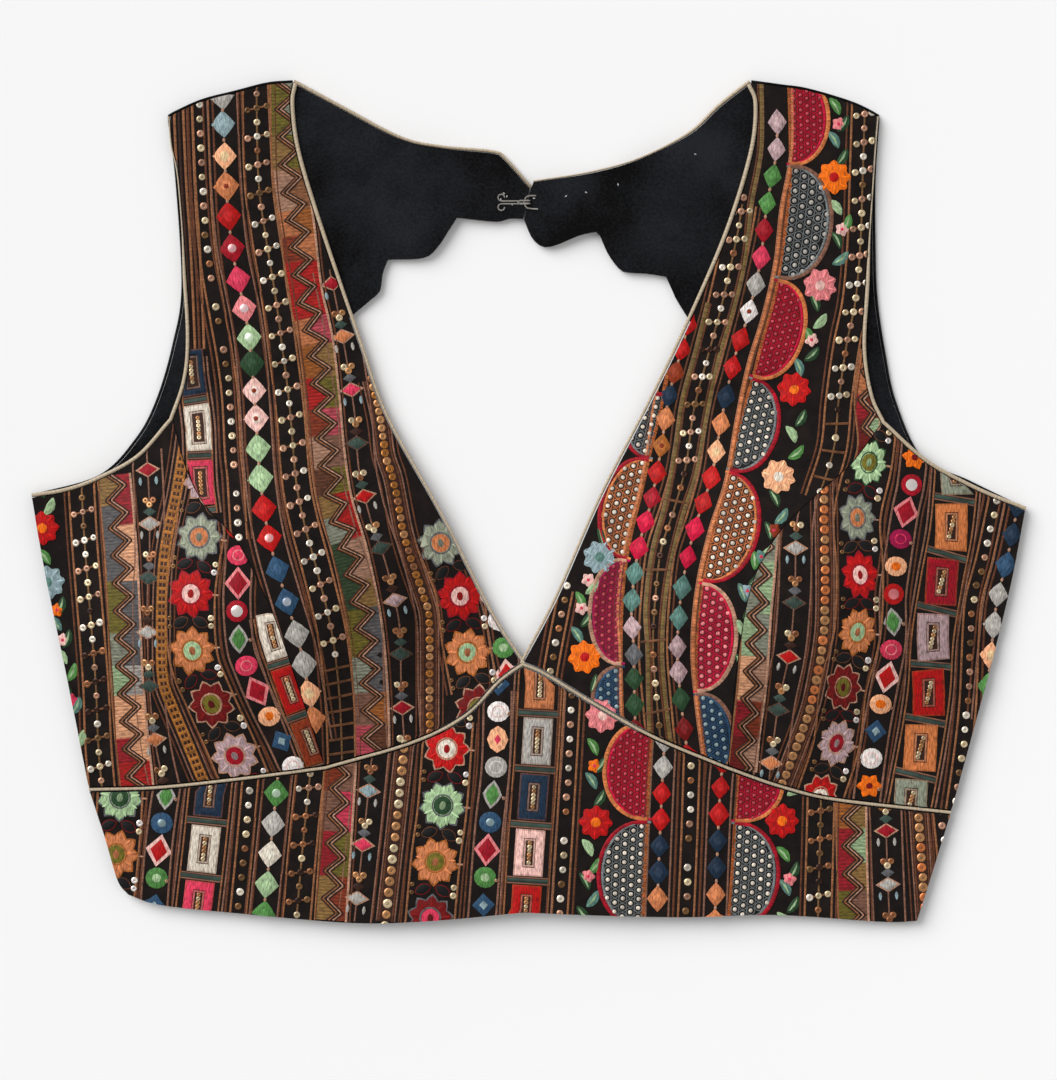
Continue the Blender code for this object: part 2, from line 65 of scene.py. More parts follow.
def from_photo(points):
    """Millimetres on the blouse for photo pixels: scaled, y turned up, moved to the box's middle."""
    spots = np.atleast_2d(np.asarray(points, float))
    x = (spots[:, 0] - PHOTO_ORIGIN[0]) * PIXEL + BOX_SHIFT[0]
    y = (PHOTO_ORIGIN[1] - spots[:, 1]) * PIXEL + BOX_SHIFT[1]
    return np.column_stack([x, y])


def add_camera():
    """A long lens straight above the middle of the photo's frame."""
    middle = from_photo((PHOTO_SIZE[0] / 2, PHOTO_SIZE[1] / 2))[0]
    tall = PHOTO_SIZE[1] * PIXEL
    data = bpy.data.cameras.new("camera")
    data.lens = LENS
    data.sensor_fit = "VERTICAL"
    data.sensor_height = SENSOR
    data.clip_end = 50.0
    camera = bpy.data.objects.new("camera", data)
    camera.location = (middle[0] * MM, middle[1] * MM, tall * LENS / SENSOR * MM)
    bpy.context.scene.collection.objects.link(camera)
    bpy.context.scene.camera = camera
    return camera


camera = add_camera()
print("camera is", round(camera.location.z, 3), "m above the table")

# %% [markdown]
# A pale floor, a wide soft sun from the upper left, a weak lamp opposite, and a pale sky. A sun lights
# the floor evenly, and its width softens the shadows. The sequins and mirrors lie flat, so they show
# the sky: it has to be bright, or they turn black.

# %% Floor and light
FLOOR_HALF = 2.2
FLOOR_COLOUR = (0.93, 0.93, 0.935)
SKY_COLOUR = (1.0, 0.99, 0.98)
SKY_STRENGTH = 0.45
SUN_PLACE = (-2.0, 1.6, 2.1)
SUN_POWER = 2.6
SUN_WIDTH = math.radians(50.0)
FILL_PLACE = (1.2, -0.6, 1.3)
FILL_POWER = 2.0
FILL_SIZE = 1.2


def plain_material(name, colour, roughness):
    made = bpy.data.materials.new(name)
    made.use_nodes = True
    shader = made.node_tree.nodes["Principled BSDF"]
    shader.inputs["Base Color"].default_value = (*colour, 1.0)
    shader.inputs["Roughness"].default_value = roughness
    return made


def add_light(name, kind, place, power):
    """A light that faces the blouse's middle."""
    data = bpy.data.lights.new(name, kind)
    data.energy = power
    light = bpy.data.objects.new(name, data)
    light.location = place
    reach = math.hypot(place[0], place[1])
    light.rotation_euler = (math.atan2(reach, place[2]), 0, math.atan2(place[1], place[0]) + math.pi / 2)
    bpy.context.scene.collection.objects.link(light)
    return data


def add_floor_and_light():
    corners = [(-FLOOR_HALF, -FLOOR_HALF, 0), (FLOOR_HALF, -FLOOR_HALF, 0),
               (FLOOR_HALF, FLOOR_HALF, 0), (-FLOOR_HALF, FLOOR_HALF, 0)]
    mesh = bpy.data.meshes.new("floor")
    mesh.from_pydata(corners, [], [(0, 1, 2, 3)])
    mesh.materials.append(plain_material("floor_paper", FLOOR_COLOUR, 0.9))
    floor = bpy.data.objects.new("floor", mesh)
    floor.location.z = -0.0006
    bpy.context.scene.collection.objects.link(floor)
    world = bpy.data.worlds.new("sky")
    world.use_nodes = True
    world.node_tree.nodes["Background"].inputs["Color"].default_value = (*SKY_COLOUR, 1.0)
    world.node_tree.nodes["Background"].inputs["Strength"].default_value = SKY_STRENGTH
    bpy.context.scene.world = world
    add_light("sun", "SUN", SUN_PLACE, SUN_POWER).angle = SUN_WIDTH
    add_light("fill", "AREA", FILL_PLACE, FILL_POWER).size = FILL_SIZE
    bpy.context.scene.view_settings.view_transform = "Standard"


add_floor_and_light()

# %% [markdown]
# The cut. These tables repeat the edges of the walls in the frame, in millimetres before the shift to
# the box's middle. A curve runs smoothly through each table. The front's height is the layer it rests
# on, two soft rises for the cups and a low one for the band, less the folds and creases, plus the
# ridges.

# %% Edges and heights of the cut pieces
CLOTH_WALL = 1.3
FRONT_FLOOR = 2.9
SEAM_HALF = 0.15
UNDERBUST_HALF = 1.3

V_POINT = (-2.6, -71.6)
SEAM_TOP = {"left": (-156.7, 35.8), "right": (155.5, 34.5)}
SEAM_FOOT = {"left": (-89.5, -117.1), "right": (87.7, -117.1)}
UNDERARM = {"left": (-219.0, 1.8), "right": (219.0, -4.0)}
SIDE_FOOT = {"left": (-193.8, -126.9), "right": (186.3, -137.0)}
HEM_CORNER = {"left": (-176.5, -173.2), "right": (171.3, -184.8)}
EDGES = {
    "neck_left": [V_POINT, (-16.6, -49.9), (-39.6, -4.9), (-63.4, 38.0), (-75.4, 71.2),
                  (-93.5, 123.8), (-102.8, 155.1), (-105.4, 175.5), (-104.1, 184.8)],
    "neck_right": [V_POINT, (13.0, -42.0), (32.5, 2.2), (53.7, 43.3), (70.1, 76.9),
                   (88.2, 118.5), (99.2, 153.8), (101.4, 175.5), (98.3, 184.8)],
    "shoulder_left": [(-158.0, 170.2), (-144.3, 176.4), (-129.3, 180.3), (-115.1, 183.9),
                      (-104.1, 184.8)],
    "shoulder_right": [(98.3, 184.8), (111.6, 183.0), (123.5, 181.2), (142.5, 175.5), (153.6, 170.2)],
    "strap_left": [SEAM_TOP["left"], (-150.8, 53.9), (-149.2, 73.4), (-150.9, 102.5),
                   (-154.0, 142.3), (-157.0, 157.4), (-158.0, 170.2)],
    "strap_right": [SEAM_TOP["right"], (150.1, 46.9), (147.0, 67.2), (148.3, 93.7), (150.9, 133.5),
                    (152.7, 160.0), (153.6, 170.2)],
    "lower_left": [UNDERARM["left"], (-204.0, 4.3), (-189.8, 9.3), (-171.3, 19.4), SEAM_TOP["left"]],
    "lower_right": [SEAM_TOP["right"], (174.8, 17.2), (197.4, 4.9), UNDERARM["right"]],
    "princess_left": [SEAM_FOOT["left"], (-100.1, -83.1), (-109.8, -53.0), (-117.8, -34.9),
                      (-127.5, -16.8), (-141.9, -1.1), (-150.5, 15.0), SEAM_TOP["left"]],
    "princess_right": [SEAM_FOOT["right"], (90.4, -78.7), (94.6, -47.7), (99.8, -29.9),
                       (110.3, -12.4), (126.4, 3.4), (142.1, 17.1), SEAM_TOP["right"]],
    "bust_1": [SIDE_FOOT["left"], (-163.8, -126.0), (-130.2, -122.4), SEAM_FOOT["left"]],
    "bust_2": [SEAM_FOOT["left"], (-51.5, -106.1), (-28.5, -94.6), (-12.6, -78.8), V_POINT],
    "bust_3": [V_POINT, (6.9, -75.6), (28.1, -88.4), (55.0, -103.4), SEAM_FOOT["right"]],
    "bust_4": [SEAM_FOOT["right"], (110.3, -125.1), (135.9, -131.3), SIDE_FOOT["right"]],
    "side_left": [SIDE_FOOT["left"], (-203.1, -80.0), (-213.3, -30.9), UNDERARM["left"]],
    "side_right": [SIDE_FOOT["right"], (202.7, -76.9), (212.4, -38.0), UNDERARM["right"]],
    "band_left": [HEM_CORNER["left"], (-181.1, -167.3), (-186.3, -149.8), SIDE_FOOT["left"]],
    "band_right": [HEM_CORNER["right"], (178.9, -161.0), SIDE_FOOT["right"]],
    "hem_left": [HEM_CORNER["left"], (-162.9, -177.7), (-130.2, -181.2), (-76.2, -185.6),
                 (-39.1, -184.3), (-2.0, -180.8)],
    "hem_right": [(-2.0, -180.8), (28.1, -182.1), (68.7, -183.0), (109.0, -182.1), (156.2, -185.2),
                  HEM_CORNER["right"]],
}

# Fullness. Columns: x, y of the top, reach left, right, up and down, height.
RISES = [(-121.0, -42.0, 90.0, 104.0, 96.0, 88.0, 24.0),
         (115.0, -46.0, 106.0, 94.0, 98.0, 86.0, 25.0),
         (0.0, -146.0, 176.0, 176.0, 112.0, 112.0, 3.9)]

# Main folds, as in the frame. Columns: foot x, y, head x, y, half width, depth.
FOLDS = [(-158.0, -116.0, -146.0, -66.0, 9.0, 1.8), (-64.0, -100.0, -84.0, -52.0, 10.0, 2.4),
         (-30.0, -84.0, -56.0, -44.0, 9.0, 1.8), (-152.0, 18.0, -118.0, 4.0, 8.0, 1.6),
         (30.0, -78.0, 52.0, -6.0, 12.0, 2.8), (66.0, -98.0, 84.0, -50.0, 10.0, 2.4),
         (146.0, -120.0, 134.0, -64.0, 10.0, 2.6), (150.0, 22.0, 116.0, 6.0, 8.0, 1.6)]

# Small creases that only the looks need. Same columns; a negative depth is a ridge.
CREASES = [(-76.0, -116.0, -84.0, -44.0, 9.0, 4.6), (75.0, -100.0, 74.0, 30.0, 9.0, 5.0),
           (-40.0, -94.0, -52.0, -20.0, 8.0, 4.2), (104.0, -118.0, 98.0, -76.0, 7.0, 3.0),
           (64.0, 50.0, 112.0, 60.0, 7.0, -2.2), (112.0, 42.0, 142.0, 52.0, 6.0, -1.8),
           (-126.0, 74.0, -92.0, 62.0, 7.0, -1.4), (96.0, 130.0, 124.0, 122.0, 7.0, -1.2),
           (-112.0, -112.0, -122.0, -60.0, 8.0, 1.8), (112.0, -116.0, 106.0, -64.0, 8.0, 1.8),
           (-146.0, -118.0, -140.0, -84.0, 4.0, 1.0), (-118.0, -122.0, -112.0, -92.0, 4.5, 1.1),
           (-100.0, -118.0, -106.0, -90.0, 4.0, -0.8), (-46.0, -96.0, -64.0, -66.0, 4.5, 1.0),
           (-78.0, -108.0, -86.0, -84.0, 4.0, -0.8), (-128.0, 60.0, -120.0, 20.0, 6.0, 0.7),
           (-96.0, 96.0, -88.0, 40.0, 6.0, 0.6), (48.0, -94.0, 58.0, -62.0, 4.5, 1.0),
           (104.0, -118.0, 100.0, -88.0, 4.5, 1.1), (126.0, -124.0, 120.0, -92.0, 4.5, -0.9),
           (164.0, -124.0, 158.0, -88.0, 5.0, 1.0), (124.0, 66.0, 116.0, 26.0, 6.0, 0.7),
           (-186.0, -100.0, -160.0, -78.0, 5.0, 0.8), (180.0, -104.0, 156.0, -84.0, 5.0, 0.8),
           (-60.0, -176.0, -56.0, -120.0, 7.0, 0.7), (20.0, -176.0, 18.0, -100.0, 8.0, 0.8),
           (96.0, -178.0, 94.0, -132.0, 7.0, 0.7), (-140.0, -174.0, -142.0, -132.0, 7.0, 0.6)]


def smooth_curve(rows, count):
    """Sample a Catmull-Rom curve: each span is a cubic that leaves its ends along their neighbours."""
    points = np.array(rows, float)
    padded = np.vstack([2 * points[0] - points[1], points, 2 * points[-1] - points[-2]])
    share = np.linspace(0.0, 1.0, 25)[:, None]
    dense = []
    for index in range(len(points) - 1):
        p0, p1, p2, p3 = padded[index:index + 4]
        dense.append(0.5 * (2 * p1 + (p2 - p0) * share + (2 * p0 - 5 * p1 + 4 * p2 - p3) * share ** 2
                            + (3 * p1 - p0 - 3 * p2 + p3) * share ** 3))
    dense = np.vstack(dense)
    length = np.concatenate([[0.0], np.cumsum(np.linalg.norm(np.diff(dense, axis=0), axis=1))])
    wanted = np.linspace(0.0, length[-1], count)
    return np.column_stack([np.interp(wanted, length, dense[:, axis]) for axis in (0, 1)])


def edge(name, count):
    return smooth_curve(EDGES[name], count) + np.array(BOX_SHIFT)


def join(*curves):
    return np.vstack([curves[0]] + [curve[1:] for curve in curves[1:]])


def hump(x, y, row):
    """A soft rise: one minus the squared distance in its own reaches, to the power 1.6."""
    top_x, top_y, left, right, up, down, height = row
    across = np.where(x < top_x, (x - top_x) / left, (x - top_x) / right)
    along = np.where(y < top_y, (y - top_y) / down, (y - top_y) / up)
    return height * np.clip(1 - across ** 2 - along ** 2, 0, 1) ** 1.6


def trough(x, y, row):
    """A soft groove: a bell across its line times a half sine along it."""
    foot_x, foot_y, head_x, head_y, half_width, depth = row
    run_x, run_y = head_x - foot_x, head_y - foot_y
    length = math.hypot(run_x, run_y)
    share = ((x - foot_x) * run_x + (y - foot_y) * run_y) / length ** 2
    aside = ((x - foot_x) * run_y - (y - foot_y) * run_x) / length
    return depth * np.sin(np.pi * np.clip(share, 0, 1)) * np.exp(-(aside / half_width) ** 2)


def front_height(points):
    """Height of the front's underside above the table, in millimetres."""
    x = points[..., 0] - BOX_SHIFT[0]
    y = points[..., 1] - BOX_SHIFT[1]
    rise = sum(hump(x, y, row) for row in RISES)
    sink = sum(trough(x, y, row) for row in FOLDS)
    crease = sum(trough(x, y, row) for row in CREASES if row[5] > 0)
    ridge = sum(trough(x, y, row) for row in CREASES if row[5] < 0)
    base = np.maximum(rise - sink, 0.0)
    return FRONT_FLOOR + np.maximum(base - crease * np.clip(base / 2.0, 0, 1), 0.0) - ridge


print("cups stand", round(float(front_height(np.array([[-121.0, -42.0]]))[0]) + CLOTH_WALL, 1), "mm up")

# %% [markdown]
# A panel is a Coons patch: the two pairs of facing edges are blended, and what the corners count
# twice is taken off. The same patch gives the shell and its flat cut size. The back halves are cut to
# an outline and lie flat, so they are plates.

# %% Panel shells
SHARP_ANGLE = math.radians(50.0)


def coons_grid(bottom, top, left, right):
    """Blend four edges: rows from bottom to top, columns from left to right."""
    def share_of(first, second):
        both = []
        for curve in (first, second):
            steps = np.linalg.norm(np.diff(curve, axis=0), axis=1)
            both.append(np.concatenate([[0.0], np.cumsum(steps)]) / steps.sum())
        return (both[0] + both[1]) / 2

    s = share_of(bottom, top)[None, :, None]
    t = share_of(left, right)[:, None, None]
    rows = (1 - t) * bottom[None] + t * top[None]
    sides = (1 - s) * left[:, None] + s * right[:, None]
    corners = ((1 - s) * (1 - t) * bottom[0] + s * (1 - t) * bottom[-1]
               + (1 - s) * t * top[0] + s * t * top[-1])
    return rows + sides - corners


def side_normals(curve):
    forward = np.gradient(curve, axis=0)
    forward /= np.linalg.norm(forward, axis=1)[:, None]
    return np.column_stack([-forward[:, 1], forward[:, 0]])


def pull_in(grid, bottom, top, left, right):
    moved = grid.copy()
    moved[0] += side_normals(grid[0]) * bottom
    moved[-1] -= side_normals(grid[-1]) * top
    moved[:, 0] -= side_normals(grid[:, 0]) * left
    moved[:, -1] += side_normals(grid[:, -1]) * right
    return moved


def front_grids():
    """The five front panels' grids, by node name."""
    across, side_across, up, strap, down = 46, 34, 48, 44, 30
    grids = {}
    left_up = join(edge("princess_left", up), edge("strap_left", strap))
    grid = coons_grid(edge("bust_2", across), edge("shoulder_left", across), left_up,
                      edge("neck_left", len(left_up)))
    grid = pull_in(grid, UNDERBUST_HALF, 0, SEAM_HALF, 0)
    grid[:, -1, 0] -= SEAM_HALF
    grids["front_centre_left"] = grid
    right_up = join(edge("princess_right", up), edge("strap_right", strap))
    grid = coons_grid(edge("bust_3", across), edge("shoulder_right", across),
                      edge("neck_right", len(right_up)), right_up)
    grid = pull_in(grid, UNDERBUST_HALF, 0, 0, SEAM_HALF)
    grid[:, 0, 0] += SEAM_HALF
    grids["front_centre_right"] = grid
    grid = coons_grid(edge("bust_1", side_across), edge("lower_left", side_across),
                      edge("side_left", up), edge("princess_left", up))
    grids["front_side_left"] = pull_in(grid, UNDERBUST_HALF, 0, 0, SEAM_HALF)
    grid = coons_grid(edge("bust_4", side_across), edge("lower_right", side_across),
                      edge("princess_right", up), edge("side_right", up))
    grids["front_side_right"] = pull_in(grid, UNDERBUST_HALF, 0, SEAM_HALF, 0)
    bust = join(edge("bust_1", 28), edge("bust_2", 34), edge("bust_3", 34), edge("bust_4", 28))
    half = len(bust) // 2 + 1
    hem = join(edge("hem_left", half), edge("hem_right", half))
    grid = coons_grid(hem, bust, edge("band_left", down), edge("band_right", down))
    grids["front_band"] = pull_in(grid, 0, UNDERBUST_HALF, 0, 0)
    return grids


def rim_of(grid):
    """Walk once round a grid's border."""
    return np.vstack([grid[0], grid[1:, -1], grid[-1, -2::-1], grid[-2:0:-1, 0]])


def make_object(name, points, faces, materials):
    """A mesh from millimetre points, placed at the origin."""
    mesh = bpy.data.meshes.new(name)
    mesh.from_pydata((np.asarray(points) * MM).tolist(), [], faces)
    for material in materials:
        mesh.materials.append(material)
    mesh.shade_smooth()
    mesh.set_sharp_from_angle(angle=SHARP_ANGLE)
    made = bpy.data.objects.new(name, mesh)
    bpy.context.scene.collection.objects.link(made)
    return made


def wall_mesh(grid, floor, thickness):
    """Points and faces of a closed wall on a grid."""
    rows, columns = grid.shape[:2]
    height = floor(grid)
    under = np.dstack([grid, height]).reshape(-1, 3)
    over = np.dstack([grid, height + thickness]).reshape(-1, 3)
    count = rows * columns
    index = np.arange(count).reshape(rows, columns)
    cells = np.dstack([index[:-1, :-1], index[:-1, 1:], index[1:, 1:], index[1:, :-1]]).reshape(-1, 4)
    rim = np.concatenate([index[0], index[1:, -1], index[-1, -2::-1], index[-2:0:-1, 0]])
    following = np.roll(rim, -1)
    faces = cells[:, ::-1].tolist() + (cells + count).tolist()
    faces += np.column_stack([rim, following, following + count, rim + count]).tolist()
    return np.vstack([under, over]), faces


def surface_area(grid, floor):
    """Area of a plan grid once it is raised to its height, from each cell's diagonals."""
    solid = np.dstack([grid, floor(grid)])
    first = solid[1:, 1:] - solid[:-1, :-1]
    second = solid[1:, :-1] - solid[:-1, 1:]
    return 0.5 * np.linalg.norm(np.cross(first, second), axis=-1).sum()


GRIDS = front_grids()
print("front panels:", {name: grid.shape[:2] for name, grid in GRIDS.items()})

# %% [markdown]
# Thread has dyed colour, fine parallel strands and little gloss. The strands are noise stretched
# along each stitch, read from a UV map in millimetres that every stitched shape carries. One node
# group makes these strands for thread and cord. Another makes the mottled tone of ground cloth and
# cotton, and of the lining, where its large swing also paints lighter blotches of sheen.

# %% Colours and materials
DYES = {
    "ground": (20, 14, 12), "cord": (198, 124, 86), "khaki": (142, 112, 72), "umber": (52, 30, 22),
    "dusty": (178, 82, 92), "pewter": (120, 124, 124), "tan": (140, 96, 70), "brown": (92, 56, 40),
    "rust": (158, 98, 58), "taupe": (126, 92, 78), "rose_tan": (176, 138, 118),
    "cream": (206, 188, 158), "honey": (178, 134, 98), "bronze": (112, 84, 58), "braid": (160, 108, 64),
    "red": (172, 12, 36), "crimson": (150, 18, 48), "deep_red": (104, 16, 26), "magenta": (150, 28, 76),
    "rose": (206, 78, 98), "pink": (218, 136, 138), "blush": (230, 190, 182), "white": (232, 224, 220),
    "peach": (232, 176, 142), "orange": (222, 116, 52), "amber": (194, 126, 92),
    "green": (82, 128, 72), "mint": (160, 184, 146), "forest": (40, 66, 42), "teal": (90, 122, 114),
    "blue": (52, 78, 104), "navy": (26, 42, 60), "mist": (142, 160, 164), "silver": (170, 166, 160),
    "olive": (108, 100, 46), "lilac": (176, 152, 154), "sage": (140, 144, 128), "maroon": (98, 14, 34),
    "slate": (58, 72, 66), "moss": (110, 92, 58), "raspberry": (190, 50, 74), "ember": (132, 58, 40),
    "black": (14, 12, 14), "ash": (92, 92, 94), "ivory": (224, 214, 200),
}


def linear(rgb):
    """Undo the screen's gamma: divide by 12.92 near black, else a 2.4 power."""
    value = np.asarray(rgb, float) / 255
    return np.where(value <= 0.04045, value / 12.92, ((value + 0.055) / 1.055) ** 2.4)


DYE_DEPTH = 0.96
VIVIDNESS = 1.2
FIBRE_DEPTH = 0.25
INK = {name: linear(rgb) * DYE_DEPTH for name, rgb in DYES.items()}
for name, dye in INK.items():
    # A little more vivid: each channel moves away from the dye's own grey.
    INK[name] = np.clip(dye.mean() + (dye - dye.mean()) * VIVIDNESS, 0.002, 1)


def mottle_group():
    """Two noises, coarse and fine, lighten and darken a colour: cloth tone, and on the lining painted sheen
    too.
    """
    group = bpy.data.node_groups.new("Mottled cloth tone and painted sheen", "ShaderNodeTree")
    group.interface.new_socket("Colour", in_out="INPUT", socket_type="NodeSocketColor")
    coarse = group.interface.new_socket("Patch size", in_out="INPUT", socket_type="NodeSocketFloat")
    coarse.default_value = 90.0
    amount = group.interface.new_socket("Amount", in_out="INPUT", socket_type="NodeSocketFloat")
    amount.default_value = 0.3
    group.interface.new_socket("Colour", in_out="OUTPUT", socket_type="NodeSocketColor")
    group.interface.new_socket("Fibre", in_out="OUTPUT", socket_type="NodeSocketFloat")
    nodes, links = group.nodes, group.links
    inside = nodes.new("NodeGroupInput")
    outside = nodes.new("NodeGroupOutput")
    place = nodes.new("ShaderNodeTexCoord")
    patches = nodes.new("ShaderNodeTexNoise")
    patches.inputs["Detail"].default_value = 3.0
    fibres = nodes.new("ShaderNodeTexNoise")
    fibres.inputs["Scale"].default_value = 900.0
    fibres.inputs["Detail"].default_value = 2.0
    both = nodes.new("ShaderNodeMath")
    both.operation = "MULTIPLY_ADD"
    both.inputs[1].default_value = 0.35
    swing = nodes.new("ShaderNodeMapRange")
    swing.inputs["From Min"].default_value = 0.49
    swing.inputs["From Max"].default_value = 0.86
    low = nodes.new("ShaderNodeMath")
    low.operation = "SUBTRACT"
    low.inputs[0].default_value = 1.0
    high = nodes.new("ShaderNodeMath")
    high.operation = "ADD"
    high.inputs[0].default_value = 1.0
    shade = nodes.new("ShaderNodeMix")
    shade.data_type = "RGBA"
    shade.blend_type = "MULTIPLY"
    shade.inputs["Factor"].default_value = 1.0
    grey = nodes.new("ShaderNodeCombineColor")
    links.new(place.outputs["Object"], patches.inputs["Vector"])
    links.new(place.outputs["Object"], fibres.inputs["Vector"])
    links.new(inside.outputs["Patch size"], patches.inputs["Scale"])
    links.new(fibres.outputs["Fac"], both.inputs[0])
    links.new(patches.outputs["Fac"], both.inputs[2])
    links.new(both.outputs[0], swing.inputs["Value"])
    links.new(inside.outputs["Amount"], low.inputs[1])
    links.new(inside.outputs["Amount"], high.inputs[1])
    links.new(low.outputs[0], swing.inputs["To Min"])
    links.new(high.outputs[0], swing.inputs["To Max"])
    for name in ("Red", "Green", "Blue"):
        links.new(swing.outputs["Result"], grey.inputs[name])
    links.new(inside.outputs["Colour"], shade.inputs["A"])
    links.new(grey.outputs["Color"], shade.inputs["B"])
    links.new(shade.outputs["Result"], outside.inputs["Colour"])
    links.new(fibres.outputs["Fac"], outside.inputs["Fibre"])
    return group


MOTTLE = mottle_group()


def streak_group():
    """Strand tone: a noise stretched along the stitch, read from the thread map in millimetres."""
    group = bpy.data.node_groups.new("Thread streaks", "ShaderNodeTree")
    group.interface.new_socket("Colour", in_out="INPUT", socket_type="NodeSocketColor")
    for name, value in (("Strands per mm", 1.7), ("Dark", 0.5), ("Light", 1.35)):
        socket = group.interface.new_socket(name, in_out="INPUT", socket_type="NodeSocketFloat")
        socket.default_value = value
    group.interface.new_socket("Colour", in_out="OUTPUT", socket_type="NodeSocketColor")
    group.interface.new_socket("Fibre", in_out="OUTPUT", socket_type="NodeSocketFloat")
    nodes, links = group.nodes, group.links
    inside = nodes.new("NodeGroupInput")
    outside = nodes.new("NodeGroupOutput")
    place = nodes.new("ShaderNodeUVMap")
    place.uv_map = "thread"
    stretch = nodes.new("ShaderNodeMapping")
    stretch.inputs["Scale"].default_value = (1.0, 0.22, 1.0)
    strands = nodes.new("ShaderNodeTexNoise")
    strands.inputs["Detail"].default_value = 2.0
    swing = nodes.new("ShaderNodeMapRange")
    swing.inputs["From Min"].default_value = 0.32
    swing.inputs["From Max"].default_value = 0.68
    shade = nodes.new("ShaderNodeMix")
    shade.data_type = "RGBA"
    shade.blend_type = "MULTIPLY"
    shade.inputs["Factor"].default_value = 1.0
    grey = nodes.new("ShaderNodeCombineColor")
    links.new(place.outputs["UV"], stretch.inputs["Vector"])
    links.new(stretch.outputs["Vector"], strands.inputs["Vector"])
    links.new(inside.outputs["Strands per mm"], strands.inputs["Scale"])
    links.new(strands.outputs["Fac"], swing.inputs["Value"])
    links.new(inside.outputs["Dark"], swing.inputs["To Min"])
    links.new(inside.outputs["Light"], swing.inputs["To Max"])
    for name in ("Red", "Green", "Blue"):
        links.new(swing.outputs["Result"], grey.inputs[name])
    links.new(inside.outputs["Colour"], shade.inputs["A"])
    links.new(grey.outputs["Color"], shade.inputs["B"])
    links.new(shade.outputs["Result"], outside.inputs["Colour"])
    links.new(strands.outputs["Fac"], outside.inputs["Fibre"])
    return group


STREAKS = streak_group()


def cloth_material(name, colour=None, roughness=0.8, sheen=0.2, specular=0.3, patch=90.0, amount=0.3,
                   bump=0.25, strands=0.0, dark=0.5, light=1.35):
    """Cloth, or thread where strands is set: toned colour, a bump from its fibres, and a sheen."""
    made = bpy.data.materials.new(name)
    made.use_nodes = True
    nodes, links = made.node_tree.nodes, made.node_tree.links
    shader = nodes["Principled BSDF"]
    shader.inputs["Roughness"].default_value = roughness
    shader.inputs["Sheen Weight"].default_value = sheen
    shader.inputs["Sheen Roughness"].default_value = 0.45
    shader.inputs["Specular IOR Level"].default_value = specular
    tone = nodes.new("ShaderNodeGroup")
    tone.node_tree = STREAKS if strands else MOTTLE
    if strands:
        tone.inputs["Strands per mm"].default_value = strands
        tone.inputs["Dark"].default_value = dark
        tone.inputs["Light"].default_value = light
    else:
        tone.inputs["Patch size"].default_value = patch
        tone.inputs["Amount"].default_value = amount
    if colour is None:
        dye = nodes.new("ShaderNodeAttribute")
        dye.attribute_name = "dye"
        links.new(dye.outputs["Color"], tone.inputs["Colour"])
    else:
        tone.inputs["Colour"].default_value = (*colour, 1.0)
    links.new(tone.outputs["Colour"], shader.inputs["Base Color"])
    relief = nodes.new("ShaderNodeBump")
    relief.inputs["Strength"].default_value = bump
    relief.inputs["Distance"].default_value = FIBRE_DEPTH * MM
    links.new(tone.outputs["Fibre"], relief.inputs["Height"])
    links.new(relief.outputs["Normal"], shader.inputs["Normal"])
    return made


def metal_material(name, attribute=None, colour=None, roughness=0.25, metallic=1.0):
    """Sequin foil, mirror or wire, with a faint uneven gloss."""
    made = bpy.data.materials.new(name)
    made.use_nodes = True
    nodes, links = made.node_tree.nodes, made.node_tree.links
    shader = nodes["Principled BSDF"]
    shader.inputs["Metallic"].default_value = metallic
    if attribute:
        dye = nodes.new("ShaderNodeAttribute")
        dye.attribute_name = attribute
        links.new(dye.outputs["Color"], shader.inputs["Base Color"])
    else:
        shader.inputs["Base Color"].default_value = (*colour, 1.0)
    place = nodes.new("ShaderNodeTexCoord")
    wear = nodes.new("ShaderNodeTexNoise")
    wear.inputs["Scale"].default_value = 400.0
    gloss = nodes.new("ShaderNodeMapRange")
    gloss.inputs["To Min"].default_value = roughness * 0.7
    gloss.inputs["To Max"].default_value = roughness * 1.3
    links.new(place.outputs["Object"], wear.inputs["Vector"])
    links.new(wear.outputs["Fac"], gloss.inputs["Value"])
    links.new(gloss.outputs["Result"], shader.inputs["Roughness"])
    return made


GROUND = cloth_material("ground_cloth", colour=INK["ground"], roughness=0.92, sheen=0.08, specular=0.2,
                        patch=160.0, amount=0.5, bump=0.5)
THREAD = cloth_material("dyed_thread", roughness=0.6, sheen=0.03, specular=0.2, strands=1.7, bump=0.6)
SEQUIN = metal_material("sequin_foil", attribute="dye", roughness=0.32, metallic=0.6)
# The lining's mottle swings far: its lighter blotches are painted sheen on top of its uneven tone.
LINING = cloth_material("black_lining", colour=linear((15, 16, 19)), roughness=0.9, sheen=0.2,
                        specular=0.1, patch=20.0, amount=1.9, bump=0.35)
PIPING = cloth_material("gold_piping", colour=linear((190, 172, 146)), roughness=0.42, sheen=0.1,
                        specular=0.45, strands=1.1, dark=0.72, light=1.15, bump=0.7)
WIRE = metal_material("hook_wire", colour=linear((190, 186, 180)), roughness=0.28)
COTTON = cloth_material("white_cotton", colour=linear((176, 174, 170)), roughness=0.8)
print(len(bpy.data.materials), "materials")

# %% [markdown]
# Every stitched motif is built from domes and rings. A dome is an outline drawn three times, smaller
# and higher each time, so that it catches the light as padded thread does. Outlines are polar or
# polygon formulas with a few points. A kind of motif is a list of such layers.

# %% Outlines and layers


def ellipse(rx, ry, count=14):
    turn = np.arange(count) * 2 * math.pi / count
    return np.column_stack([rx * np.cos(turn), ry * np.sin(turn)])


def flower(radius, petals, depth, per_petal=4):
    """A petalled outline: the radius swings by depth once for each petal."""
    turn = np.arange(petals * per_petal) * 2 * math.pi / (petals * per_petal)
    reach = radius * (1 - depth * (0.5 - 0.5 * np.cos(turn * petals)))
    return np.column_stack([reach * np.cos(turn), reach * np.sin(turn)])


